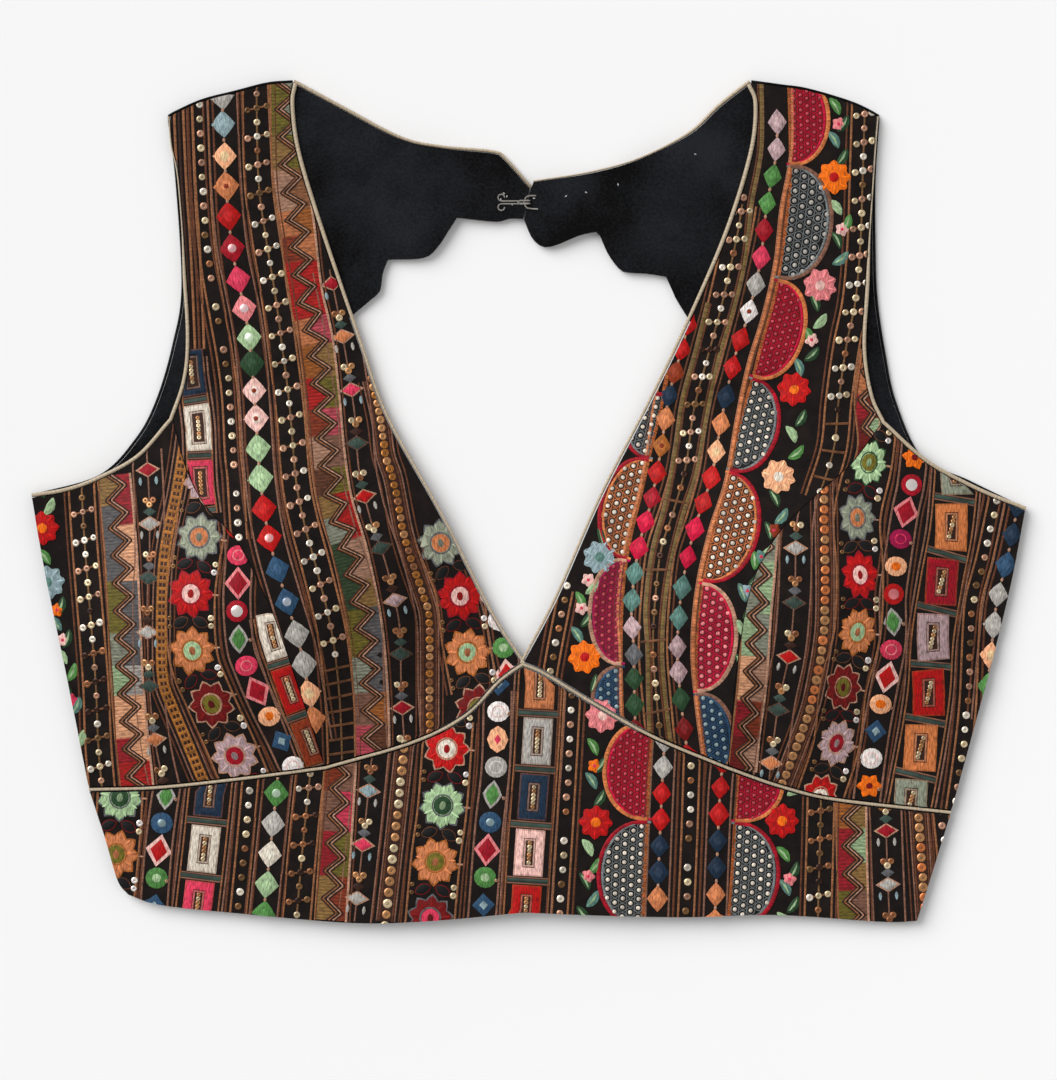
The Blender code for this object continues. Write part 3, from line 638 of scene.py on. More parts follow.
def diamond(half_width, half_height, bulge=0.0):
    """A lozenge with its side middles pushed out by bulge."""
    middle = 0.5 + bulge
    corners = [(0, 1), (-middle, middle), (-1, 0), (-middle, -middle),
               (0, -1), (middle, -middle), (1, 0), (middle, middle)]
    return np.array(corners) * np.array([half_width, half_height])


def oblong(half_width, half_height):
    corners = [(-1, 1), (-1, 0), (-1, -1), (0, -1), (1, -1), (1, 0), (1, 1), (0, 1)]
    return np.array(corners) * np.array([half_width, half_height])


def leaf(half_width, half_length, lean=0.0, count=12):
    """A pointed oval: the width follows a sine, bent sideways by lean."""
    turn = np.arange(count) * 2 * math.pi / count
    y = np.cos(turn)
    x = np.sin(turn) * np.abs(np.sin(turn)) ** 0.5
    return np.column_stack([x * half_width + lean * (1 - y ** 2), y * half_length])


def layer(outline, dye_slot, low=0.12, high=0.45, foil=False, hole=0.0, inner=None):
    """One dome on a motif. hole, or an inner outline, keeps its middle open, as in a ring."""
    outline = np.asarray(outline)
    count = len(outline)
    if hole or inner is not None:
        inner = outline * hole if inner is None else np.asarray(inner)
        hole = 1.0
        rings, heights = (outline, (outline + inner) / 2, inner), (low, high, high * 0.7)
    else:
        rings, heights = (outline, outline * 0.72, outline * 0.0), (low, low + (high - low) * 0.8, high)
    points, faces = [], []
    for ring, height in zip(rings, heights):
        points.append(np.column_stack([ring, np.full(len(ring), height)]))
    for step in range(2):
        here = np.arange(count) + step * count
        beside = (np.arange(count) + 1) % count + step * count
        if step == 1 and not hole:
            faces.append(np.column_stack([here, beside, np.full(count, 2 * count)]))
        else:
            faces.append(np.column_stack([here, beside, beside + count]))
            faces.append(np.column_stack([here, beside + count, here + count]))
    points = np.vstack(points)
    if not hole:
        points = points[:2 * count + 1]
    return {"points": points, "faces": np.vstack(faces), "slot": dye_slot, "foil": foil}


class Stitching:
    """Collects stitched shapes for one panel as arrays, then makes one mesh of them."""

    def __init__(self):
        self.points, self.faces, self.dyes, self.threads, self.count = [], [], [], [], 0

    def add(self, points, faces, dyes, threads):
        self.points.append(points)
        self.faces.append(faces + self.count)
        self.dyes.append(dyes)
        self.threads.append(threads)
        self.count += len(points)


# %% [markdown]
# The embroidery runs in columns. Each column has a centre line through a few photo points, and a
# place in it is a distance down the line and a distance across it. Where the cloth bends into a
# seam, the line bends, and every motif on it bends too.

# %% Columns
LEAD = 30.0
LINE_POINTS = 900


class Column:
    """A centre line with its left-hand normal, read by distance along it."""

    def __init__(self, path, width):
        # Spaced every half millimetre or less, and carried on straight past both ends.
        spots = from_photo(path)
        first = spots[0] - (spots[1] - spots[0]) / np.linalg.norm(spots[1] - spots[0]) * LEAD
        last = spots[-1] + (spots[-1] - spots[-2]) / np.linalg.norm(spots[-1] - spots[-2]) * LEAD
        line = smooth_curve(np.vstack([first, spots, last]), LINE_POINTS)
        self.length = np.concatenate([[0.0], np.cumsum(np.linalg.norm(np.diff(line, axis=0), axis=1))])
        self.line = line
        self.normal = -side_normals(line)
        self.half = width * PIXEL / 2
        self.start = LEAD
        self.end = self.length[-1] - LEAD

    def at(self, s, n):
        """Plan points at distances s down the line and n to its photo-right."""
        along = [np.interp(s, self.length, self.line[:, axis]) for axis in (0, 1)]
        across = [np.interp(s, self.length, self.normal[:, axis]) for axis in (0, 1)]
        return np.column_stack([along[0] - n * across[0], along[1] - n * across[1]])

    def reach(self, pixel_y):
        """Distance down the line to a photo height, or to several."""
        heights = from_photo(np.column_stack([np.zeros(np.size(pixel_y)), np.ravel(pixel_y)]))[:, 1]
        found = np.interp(-heights, -self.line[:, 1], self.length)
        return found if np.ndim(pixel_y) else found[0]


def dye_rows(names, count, spread=0.1):
    """Linear colours for a row of motifs, each a little lighter or darker than its dye."""
    picked = np.array([INK[names[index % len(names)]] for index in range(count)])
    return picked * (1 + rng.uniform(-spread, spread, (count, 1)))


def stamp(work, column, layers, s, n, slots, angle=None, size=None):
    """Stitch a motif at each (s, n). slots gives each layer's colour rows."""
    s, n = np.asarray(s, float), np.asarray(n, float)
    count = len(s)
    angle = np.zeros(count) if angle is None else np.radians(angle)
    size = np.ones((count, 2)) if size is None else np.asarray(size, float).reshape(count, 2)
    for part in layers:
        shape = part["points"]
        x = shape[None, :, 0] * size[:, :1]
        y = shape[None, :, 1] * size[:, 1:]
        across = x * np.cos(angle)[:, None] - y * np.sin(angle)[:, None]
        along = x * np.sin(angle)[:, None] + y * np.cos(angle)[:, None]
        plan = column.at((s[:, None] - along).ravel(), (n[:, None] + across).ravel())
        height = np.tile(shape[:, 2], count)
        faces = (part["faces"][None] + (np.arange(count) * len(shape))[:, None, None]).reshape(-1, 3)
        dyes = np.repeat(slots[part["slot"]], len(shape), axis=0)
        threads = np.column_stack([x.ravel() + s.repeat(len(shape)), y.ravel()])
        target = work["foil"] if part["foil"] else work["thread"]
        target.add(np.column_stack([plan, height]), faces, dyes, threads)


def strip_faces(count, strips):
    """Triangles between neighbouring rows of count points each."""
    here = np.arange(count - 1)
    faces = []
    for strip in np.arange(strips) * count:
        a, b, c, d = here + strip, here + 1 + strip, here + 1 + strip + count, here + strip + count
        faces += [np.column_stack([a, b, c]), np.column_stack([a, c, d])]
    return np.vstack(faces)


def ribbon(work, column, s, n, half_width, dye, low=0.08, high=0.35, spread=0.12):
    """A line of thread along points (s, n): two edges and a raised middle."""
    s, n = np.asarray(s, float), np.broadcast_to(np.asarray(n, float), np.shape(s))
    half = np.broadcast_to(np.asarray(half_width, float), s.shape)
    run_s, run_n = np.gradient(s), np.gradient(n)
    run = np.hypot(run_s, run_n)
    out_s, out_n = -run_n / run, run_s / run
    rows = []
    for side, height in ((-1, low), (0, high), (1, low)):
        plan = column.at(s + out_s * half * side, n + out_n * half * side)
        rows.append(np.column_stack([plan, np.full(len(s), height)]))
    count = len(s)
    points = np.vstack(rows)
    tone = np.clip(1 + rng.normal(0, spread, count), 0.6, 1.5)
    dyes = np.tile(np.asarray(dye)[None] * tone[:, None], (3, 1))
    threads = np.column_stack([np.tile(s, 3), np.repeat([0.0, 1.0, 2.0], count)])
    work["thread"].add(points, strip_faces(count, 2), dyes, threads)


def line_down(work, column, n, half_width, dye, **heights):
    """A straight run of thread down a column, with a point every 2.2 mm."""
    run = column.end - column.start
    s = np.linspace(column.start, column.end, max(int(run / 2.2), 3))
    ribbon(work, column, s, np.full(len(s), n), half_width, INK[dye], **heights)


def field(work, column, s, left, right, dyes, height=0.1, strips=2):
    """A flat stitched patch between two sides, with one colour for each row of points."""
    s = np.asarray(s, float)
    left, right = np.broadcast_to(left, s.shape), np.broadcast_to(right, s.shape)
    sides = [left + (right - left) * share for share in np.linspace(0, 1, strips + 1)]
    points = np.vstack([np.column_stack([column.at(s, side), np.full(len(s), height)]) for side in sides])
    count = len(s)
    points[count:-count, 2] += 0.12
    threads = np.column_stack([np.tile(s, strips + 1), np.concatenate(sides)])
    work["thread"].add(points, strip_faces(count, strips), np.tile(dyes, (strips + 1, 1)), threads)


def rails(work, column, table):
    """Parallel threads down a column. Rows: offset across, half width, dye."""
    for offset, half_width, dye in table:
        line_down(work, column, offset, half_width, dye)


print("columns ready")

# %% [markdown]
# Now one short function for each kind of column, named for what is stitched in it. Sizes are in
# millimetres, as measured on the photo at its scale.

# %% Column kinds
SEQUIN_RADIUS = 1.75
STAR_PITCH, CHARM_PITCH, FRAME_PITCH, DIAMOND_PITCH = 25.0, 12.2, 24.6, 13.5
BEAD_PITCH, CHAIN_PITCH, CROSS_PITCH, ZIGZAG_PITCH, STRING_PITCH = 6.4, 4.4, 6.25, 12.2, 23.8

SEQUIN_LAYERS = [layer(ellipse(SEQUIN_RADIUS, SEQUIN_RADIUS, 10), 0, 0.3, 0.7, foil=True, hole=0.36),
                 layer(ellipse(0.65, 0.65, 6), 1, 0.5, 0.8)]


def repeat(column, first, pitch):
    """Distances of a repeated motif: from the first one, on to both ends."""
    begin = first - math.floor((first - column.start) / pitch + 0.6) * pitch
    return np.arange(begin, column.end + pitch * 0.4, pitch)


def in_order(order, s, first, pitch):
    """The entry of a repeating order for each place, counted from the one at first."""
    offset = int(round((s[0] - first) / pitch))
    return [order[(index + offset) % len(order)] for index in range(len(s))]


def sequins(work, column, s, n, names, size=1.0, spread=0.3):
    """Foil cups with a stitched middle."""
    count = len(s)
    if count == 0:
        return
    shades = np.array([INK[name] for name in rng.choice(names, count)])
    shades = shades * (1 + rng.uniform(-spread, spread, (count, 1)))
    middle = shades * 0.5
    sizes = np.repeat(size * (1 + rng.uniform(-0.08, 0.08, (count, 1))), 2, axis=1)
    stamp(work, column, SEQUIN_LAYERS, s, n, [shades, middle], size=sizes)


def stars(work, column, first, kinds, width=1.0):
    """Star flowers with a ringed heart, black petals between them and a pair of beads."""
    s = repeat(column, first, STAR_PITCH)
    petals, hearts, edging = zip(*(kind.split("/") for kind in in_order(kinds, s, first, STAR_PITCH)))
    layers = [layer(flower(10.6, 9, 0.24), 2, 0.15, 0.3),
              layer(flower(9.6, 9, 0.22), 0, 0.25, 0.75),
              layer(ellipse(5.0, 5.0, 16), 2, 0.6, 0.85, hole=0.8),
              layer(ellipse(4.0, 4.0, 14), 1, 0.7, 0.95),
              layer(ellipse(1.5, 2.0, 8), 3, 0.9, 1.05)]
    slots = [dye_rows(petals, len(s)), dye_rows(hearts, len(s)), dye_rows(edging, len(s)),
             dye_rows(petals, len(s)) * 0.6]
    size = np.tile([width, 1.04], (len(s), 1))
    stamp(work, column, layers, s, np.zeros(len(s)), slots, size=size, angle=rng.uniform(-9, 9, len(s)))
    for spoke in np.arange(9) * 40.0:
        reach = 6.8
        dx, dy = reach * math.sin(math.radians(spoke)), reach * math.cos(math.radians(spoke))
        stamp(work, column, [layer(leaf(0.7, 2.2, count=6), 0, 0.66, 0.82)], s - dy,
              np.full(len(s), dx * width), [slots[0] * 1.35], angle=np.full(len(s), -spoke))
    gaps = s + STAR_PITCH / 2
    petal = [layer(leaf(2.5, 3.9), 1, 0.12, 0.2), layer(leaf(2.1, 3.5), 0, 0.2, 0.5)]
    for side in (-1, 1):
        rows = [dye_rows(["black"], len(gaps)), dye_rows(["brown", "deep_red"], len(gaps))]
        stamp(work, column, petal, gaps, np.full(len(gaps), side * 4.4 * width), rows,
              angle=np.full(len(gaps), side * 62.0))
    for drop in (-1.8, 1.8):
        sequins(work, column, gaps + drop, np.full(len(gaps), 9.2 * width), ["cream", "white"], 0.8)
        sequins(work, column, gaps + drop, np.full(len(gaps), -9.2 * width), ["bronze"], 0.6)
    for start in s:
        n = np.linspace(9.6, 12.2, 6) * width
        ribbon(work, column, start + n * 0.002, n, 0.4, INK["rose_tan"])


def disc(rim, heart, high=0.7, low=0.5, top=0.78, **middle):
    """A padded oval with a smaller oval, ring or mirror on it. Radii are across and down."""
    return [layer(ellipse(*rim), 0, 0.15, high), layer(ellipse(*heart, 12), 1, low, top, **middle)]


def gem(edging, stone):
    """A low lozenge with a padded one on it."""
    return [layer(diamond(*edging), 1, 0.12, 0.3), layer(diamond(*stone), 0, 0.28, 0.7)]


CHARMS = {
    "mirror": (disc((4.0, 4.2), (2.2, 2.3), 0.6, 0.55, 0.85, foil=True), ["crimson", "white"]),
    "red_mirror": (disc((3.9, 4.1), (2.0, 2.1), 0.6, 0.55, 0.85, foil=True), ["red", "pink"]),
    "disc": (disc((4.1, 4.0), (2.6, 2.5), top=0.75, hole=0.75), ["white", "blush"]),
    "rose_disc": (disc((4.2, 3.9), (2.4, 2.3), hole=0.7), ["rose", "pink"]),
    "magenta_disc": (disc((4.2, 3.8), (2.4, 2.2), hole=0.7), ["magenta", "rose"]),
    "amber_disc": (disc((4.2, 3.8), (2.2, 2.0)), ["peach", "orange"]),
    "green_disc": (disc((4.1, 4.1), (2.0, 2.0)), ["green", "mint"]),
    "blue_disc": (disc((4.1, 4.1), (1.8, 1.8), top=0.85, foil=True), ["blue", "mist"]),
    "silver_disc": (disc((4.1, 4.1), (2.6, 2.6), top=0.75, hole=0.8), ["silver", "white"]),
    "gem": (gem((4.9, 6.4), (3.4, 4.8)), ["crimson", "pink"]),
    "red_gem": (gem((4.9, 6.4), (3.2, 4.6)), ["red", "blush"]),
    "leaf": (gem((3.6, 5.6, 0.06), (2.5, 4.2, 0.08)), ["green", "silver"]),
    "blossom": ([layer(flower(4.8, 6, 0.3), 0, 0.15, 0.7), layer(ellipse(1.4, 1.4, 8), 1, 0.6, 0.85)],
                ["orange", "deep_red"]),
    "salmon": ([layer(diamond(3.9, 5.2, 0.16), 0, 0.15, 0.7), layer(diamond(1.4, 2.2), 1, 0.6, 0.8)],
               ["peach", "rose"]),
    "kite": ([layer(diamond(4.2, 4.6), 0, 0.15, 0.65), layer(diamond(1.6, 1.8), 1, 0.6, 0.78)],
             ["blue", "mist"]),
}


def charms(work, column, first, order, width=1.0):
    """Single charms one under another: discs, mirrors, gems and small flowers."""
    s = repeat(column, first, CHARM_PITCH)
    for index, (place, charm) in enumerate(zip(s, in_order(order, s, first, CHARM_PITCH))):
        layers, names = CHARMS[charm]
        slots = [dye_rows([name], 1) for name in names]
        stamp(work, column, layers, [place], [rng.uniform(-0.4, 0.4)], slots,
              size=[[width * 1.2, 1.14]], angle=np.array([rng.uniform(-8, 8)]))
        if index % 3 == 1:
            sequins(work, column, [place + 1.0], [column.half * 0.86], ["rose_tan"], 0.45)


def frames(work, column, first, names, lean=0.0, width=1.0, slot=2.7):
    """Padded frames round a slot of small sequins, with pale threads between them."""
    s = repeat(column, first, FRAME_PITCH)
    picked = in_order(names, s, first, FRAME_PITCH)
    layers = [layer(oblong(6.5, 10.3), 1, 0.12, 0.4, inner=oblong(5.7, 9.5)),
              layer(oblong(5.9, 9.7), 0, 0.3, 0.8, inner=oblong(slot, slot + 3.8)),
              layer(oblong(slot, slot + 3.8), 2, 0.15, 0.3),
              layer(oblong(slot - 0.2, slot + 3.5), 3, 0.3, 0.5, inner=oblong(slot - 1, slot + 2.7))]
    rows = dye_rows(picked, len(s))
    slots = [rows, rows * 0.6 + INK["rust"] * 0.25, dye_rows(["umber"], len(s)),
             rows * 0.45 + INK["rose_tan"] * 0.4]
    zero = np.zeros(len(s))
    stamp(work, column, layers, s, zero, slots, angle=zero + lean, size=np.tile([width, 1.0], (len(s), 1)))
    for step in np.arange(-4.4, 4.5, 1.75):
        sequins(work, column, s + step, zero - step * math.sin(math.radians(lean)), ["honey", "cream"], 0.58)
    tilt = math.tan(math.radians(lean))
    for bar, dye, half in ((-1.3, "taupe", 0.32), (0.0, "slate", 0.8), (1.3, "taupe", 0.32)):
        for gap in s + FRAME_PITCH / 2 + bar:
            n = np.linspace(-column.half * 0.98, column.half * 0.98, 9)
            ribbon(work, column, gap + tilt * n * 0.5 + 0.002 * n, n, half, INK[dye])


def diamonds(work, column, first, marks, pitch=DIAMOND_PITCH, size=(0.92, 0.95), places=None, braids=()):
    """Padded lozenges tip to tip. A mark is a dye, with m for a mirror or d for a dot in its middle.

    They are evenly spaced by pitch, or stand at photo heights, places. Braids edge them left and right.
    """
    s = first + np.arange(len(marks)) * pitch
    if places:
        s = column.reach(np.array(places, float))
    for side, dye in zip((-1, 1), braids):
        line_down(work, column, side * (column.half + 0.7), 0.95, dye, low=0.1, high=0.5)
    base = [layer(diamond(6.0, 6.7, 0.035), 0, 0.15, 0.85)]
    rows = dye_rows([mark.split("+")[0] for mark in marks], len(marks))
    sizes = np.tile(size, (len(marks), 1)) * (1 + rng.uniform(-0.06, 0.06, (len(marks), 1)))
    stamp(work, column, base, s, np.zeros(len(s)), [rows], size=sizes, angle=rng.uniform(-3, 3, len(s)))
    # A smaller raised lozenge on each diamond, a quarter lighter than its dye: the raised centre is stitched,
    # and its lighter colour is a painted highlight.
    painted_highlight_centre = [layer(diamond(2.6, 2.9, 0.1), 0, 0.75, 0.95)]
    stamp(work, column, painted_highlight_centre, s, np.zeros(len(s)), [np.clip(rows * 1.25 + 0.01, 0, 0.8)], size=sizes)
    knots = (s[:-1] + s[1:]) / 2
    stamp(work, column, [layer(ellipse(0.7, 1.0, 6), 0, 0.3, 0.6)], knots, np.zeros(len(knots)),
          [dye_rows(["rose_tan"], len(knots))])
    for index, mark in enumerate(marks):
        if mark.endswith("+m"):
            mirror = [layer(ellipse(1.9, 1.9, 12), 0, 0.95, 1.2, foil=True)]
            stamp(work, column, mirror, [s[index]], [0.0], [np.clip(rows[index:index + 1] + 0.4, 0, 0.9)])
        if mark.endswith("+d"):
            dot = [layer(ellipse(1.1, 1.1, 8), 0, 0.95, 1.15)]
            stamp(work, column, dot, [s[index]], [0.0], [dye_rows(["ember"], 1)])


def crosses(work, column, first, bright=0.55, spread=4.1, cycle="31", tied=None, low_cycle="-"):
    """Rows of three sequins, single ones and tie bars down a thread, in the order of cycle.

    Below the photo height tied, the order is low_cycle.
    """
    line_down(work, column, 0, 0.4, "bronze")
    s = repeat(column, first, CROSS_PITCH)
    kind = np.array(in_order(cycle, s, first, CROSS_PITCH))
    if tied is not None:
        kind = np.where(s > column.reach(tied), in_order(low_cycle, s, first, CROSS_PITCH), kind)
    triple, single, bars = kind == "3", kind != "-", s[kind == "-"]
    for place in bars:
        n = np.linspace(-column.half * 0.95, column.half * 0.95, 7)
        ribbon(work, column, place - n * 0.12, n, 0.55, INK["tan"] * 0.55, 0.3, 0.6)
    glow = rng.uniform(0, 1, len(s)) < bright
    for names, chosen in ((["cream", "ivory", "rose_tan"], glow & single),
                          (["bronze", "tan", "umber"], ~glow & single)):
        sequins(work, column, s[chosen], np.zeros(chosen.sum()), names, 0.86)
        for side in (-1, 1):
            pick = triple & chosen
            n = side * (spread + rng.uniform(-0.3, 0.3, pick.sum()))
            sequins(work, column, s[pick] - side * 0.9, n, names, 0.86)
    for place in s[triple]:
        n = np.linspace(-spread - 1.5, spread + 1.5, 7)
        ribbon(work, column, place - n * 0.22, n, 0.4, INK["tan"] * 0.7)


def threads(work, column, first, dyes=("brown", "tan", "umber", "tan")):
    """Parallel couched threads, two millimetres apart, over the column's width."""
    places = np.arange(-column.half + 1, column.half, 2.0)
    rails(work, column, [(place, 0.55, dyes[index % len(dyes)]) for index, place in enumerate(places)])


def beads(work, column, first, bright=0.55):
    """One sequin under another between two pairs of brown threads."""
    s = repeat(column, first, BEAD_PITCH)
    keep = rng.uniform(0, 1, len(s)) < 0.96
    glow = rng.uniform(0, 1, len(s)) < bright
    for names, chosen in ((["cream", "ivory", "rose_tan"], glow & keep), (["bronze", "tan"], ~glow & keep)):
        sequins(work, column, s[chosen], rng.uniform(-0.3, 0.3, chosen.sum()), names, 0.9)


def chain(work, column, first, names=("honey", "cord"), size=1.14, pitch=CHAIN_PITCH, rungs=False):
    """Touching sequins, or the rungs of a flat braid, in a line on dark cord, between brown threads."""
    line_down(work, column, 0, 2.9, "umber", low=0.12, high=0.2)
    s = repeat(column, first, pitch)
    reach = 1.9 if rungs else 2.9
    half, dye = (0.62, "braid") if rungs else (0.42, "brown")
    rails(work, column, [(-reach, half, dye), (reach, half, dye)])
    if not rungs:
        sequins(work, column, s, rng.uniform(-0.15, 0.15, len(s)), list(names), size, 0.15)
        return
    line_down(work, column, 0, 0.35, "braid")
    for place in s:
        n = np.linspace(-1.7, 1.7, 5)
        ribbon(work, column, place + n * 0.02, n, 0.75, INK["braid"] * 0.85, 0.25, 0.6)


def zigzag(work, column, first, patches):
    """Filled patches on both sides of a double zigzag thread. Rows: photo y of a patch's top, left, right."""
    s = np.arange(column.start, column.end, ZIGZAG_PITCH / 16)
    phase = (s - first) / ZIGZAG_PITCH
    wave = column.half * 0.5 * (4 * np.abs(phase - np.floor(phase + 0.5)) - 1)
    tops = column.reach(np.array([row[0] for row in patches], float))
    block = np.clip(np.searchsorted(tops, s) - 1, 0, None)
    light = np.where(np.arange(len(s)) % 2 == 0, 0.55, 0.92) * rng.uniform(0.85, 1.15, len(s))
    left, right = ((np.array([INK[row[side]] for row in patches])[block] * 0.94 + INK["taupe"] * 0.08)
                   * light[:, None] for side in (1, 2))
    field(work, column, s, np.full(len(s), -column.half), wave, left)
    field(work, column, s, wave, np.full(len(s), column.half), right)
    for shift, half, dye in ((-1.5, 0.38, "umber"), (-0.6, 0.36, "tan"), (0.35, 0.46, "ground"),
                             (1.3, 0.36, "rose_tan"), (2.1, 0.38, "umber")):
        ribbon(work, column, s, wave + shift, half, INK[dye], 0.25, 0.6)
    rails(work, column, [(-column.half, 0.45, "tan"), (column.half, 0.55, "rose_tan"),
                         (column.half + 1.6, 0.4, "brown")])


def strings(work, column, first, names, width=1.0):
    """Hanging charms: a winged gem with two drops, a string, and a heart of foil dots."""
    s = repeat(column, first, STRING_PITCH)
    picked = in_order(names, s, first, STRING_PITCH)
    zero = np.zeros(len(s))
    line_down(work, column, 0, 0.35, "taupe")
    plain = np.array([name in ("slate", "umber") for name in picked])
    winged = gem((5.6 * width, 3.4), (4.2 * width, 2.8))
    rows = [dye_rows(picked, len(s)), dye_rows(["rose_tan"], len(s)) * np.where(plain, 0.2, 1.0)[:, None]]
    stamp(work, column, winged, s, zero, rows)
    drop = [layer(leaf(0.8, 1.9, count=8), 0, 0.2, 0.5)]
    for side in (-1, 1):
        stamp(work, column, drop, s[~plain] + 5.0, zero[~plain] + side * 3.6 * width,
              [dye_rows(["mist", "silver"], (~plain).sum())])
    dots = [(-1.7, 0.0), (1.7, 0.0), (0.0, 1.9)]
    for across, down in dots:
        sequins(work, column, s + 13.5 + down, zero + across, ["cream", "honey", "tan"], 0.85)
    small = [layer(diamond(3.0 * width, 2.2), 0, 0.15, 0.5)]
    stamp(work, column, small, s + 18.6, zero, [dye_rows(["slate", "ash", "umber"], len(s))])


def vine(work, column, first, flowers, buds=(), side=1):
    """A stem of leaves with large flowers and small buds. Rows of both: photo height, dye."""
    places = np.array([column.reach(pixel_y) for pixel_y, _ in flowers])
    names = [name for _, name in flowers]
    leaves = np.arange(column.start, column.end, 7.4)
    leaves = leaves[np.abs(places[:, None] - leaves[None]).min(axis=0) > 7.5]
    odd = np.arange(len(leaves)) % 2
    blade = [layer(leaf(2.0, 4.4, 0.8), 0, 0.15, 0.55), layer(leaf(0.5, 3.4, 0.6, 8), 1, 0.5, 0.62)]
    rows = [dye_rows(["forest", "mint", "green", "forest", "teal"], len(leaves)),
            dye_rows(["mint"], len(leaves))]
    stamp(work, column, blade, leaves, np.where(odd, 2.2, -1.8), rows, angle=np.where(odd, -30.0, 34.0))
    if buds:
        spots = np.array([column.reach(pixel_y) for pixel_y, _ in buds])
        bud = [layer(flower(3.2, 5, 0.28), 0, 0.2, 0.7), layer(ellipse(0.9, 0.9, 6), 1, 0.6, 0.8)]
        stamp(work, column, bud, spots, np.full(len(spots), side * 0.4),
              [dye_rows([name for _, name in buds], len(spots)), dye_rows(["rose"], len(spots))])
    big = [layer(flower(7.6, 8, 0.2, per_petal=5), 0, 0.3, 0.85), layer(ellipse(2.2, 2.2, 10), 1, 0.8, 1.05)]
    stamp(work, column, big, places, np.full(len(places), -side * 1.2),
          [dye_rows(names, len(places)), dye_rows([FLOWER_HEARTS[name] for name in names], len(places))])
    for spoke in np.arange(8) * 45.0:
        dx, dy = 5.2 * math.sin(math.radians(spoke)), 5.2 * math.cos(math.radians(spoke))
        stamp(work, column, [layer(leaf(0.55, 2.0, count=6), 0, 0.72, 0.92)], places - dy,
              np.full(len(places), -side * 1.2 + dx), [dye_rows(names, len(places)) * 1.4],
              angle=np.full(len(places), -spoke))


FLOWER_HEARTS = {"orange": "red", "pink": "blush", "red": "orange", "peach": "ivory", "mist": "teal",
                 "blush": "rose"}
MOONS = {
    "red": ("deep_red", "dusty", "raspberry", "cord", 3.3),
    "navy": ("black", "silver", "pewter", "taupe", 4.3),
    "pearl": ("black", "ivory", "pewter", "crimson", 4.0),
    "cocoa": ("umber", "ivory", "cord", "crimson", 4.0),
    "magenta": ("maroon", "pink", "raspberry", "rose_tan", 3.9),
    "wine": ("maroon", "dusty", "magenta", "rose_tan", 3.5),
    "azure": ("navy", "mist", "blue", "taupe", 3.9),
}


def moons(work, column, rows, side=1):
    """Half moons against a cord: a dark bed, netted rings, raised dots and an outlined rim.

    Rows: photo y of the top tip, photo y of the foot, bulge in millimetres, kind. The bulge lies to
    the photo-right for side 1.
    """
    for top_y, foot_y, bulge, kind in rows:
        bed, dot, net, rim, pitch = MOONS[kind]
        top, foot = column.reach(top_y), column.reach(foot_y)
        middle, half = (top + foot) / 2, (foot - top) / 2
        turn = np.linspace(0, math.pi, 25)
        s = middle - half * np.cos(turn)
        n = side * bulge * np.sin(turn) ** 0.85
        field(work, column, s, np.zeros(len(s)), n, np.tile(INK[bed], (len(s), 1)), 0.12, strips=7)
        ribbon(work, column, s, n - side * 0.2, 0.9, INK[rim], 0.25, 0.75)
        ribbon(work, column, s, n - side * 1.9, 0.5, INK[net], 0.25, 0.5)
        grid_s, grid_n = [], []
        for row, across in enumerate(np.arange(pitch * 0.55, bulge, pitch * 0.87)):
            for along in np.arange(top + pitch / 2 + (row % 2) * pitch / 2, foot, pitch):
                share = (along - middle) / half
                if abs(share) < 1 and across < bulge * (1 - share ** 2) ** 0.425 - 2.0:
                    grid_s.append(along)
                    grid_n.append(side * across)
        count = len(grid_s)
        if count == 0:
            continue
        ring = [layer(ellipse(pitch * 0.5, pitch * 0.5, 10), 0, 0.25, 0.45, hole=0.84)]
        stamp(work, column, ring, grid_s, grid_n, [dye_rows([net], count, 0.2)])
        bead = [layer(ellipse(pitch * 0.24, pitch * 0.24, 8), 0, 0.3, 0.8)]
        stamp(work, column, bead, grid_s, grid_n, [dye_rows([dot], count, 0.25)])


print("kinds of charm:", len(CHARMS), "kinds of half moon:", len(MOONS))

# %% [markdown]
# The columns of each panel, from left to right. A row gives the kind, the width in photo pixels, the
# centre line, the photo height of a first motif, and what the motifs are.

# %% Column tables
STAR_ORDER = ["sage/amber/ash", "red/blush/crimson", "amber/mint/rust", "deep_red/olive/rose_tan",
              "lilac/crimson/rose_tan"]

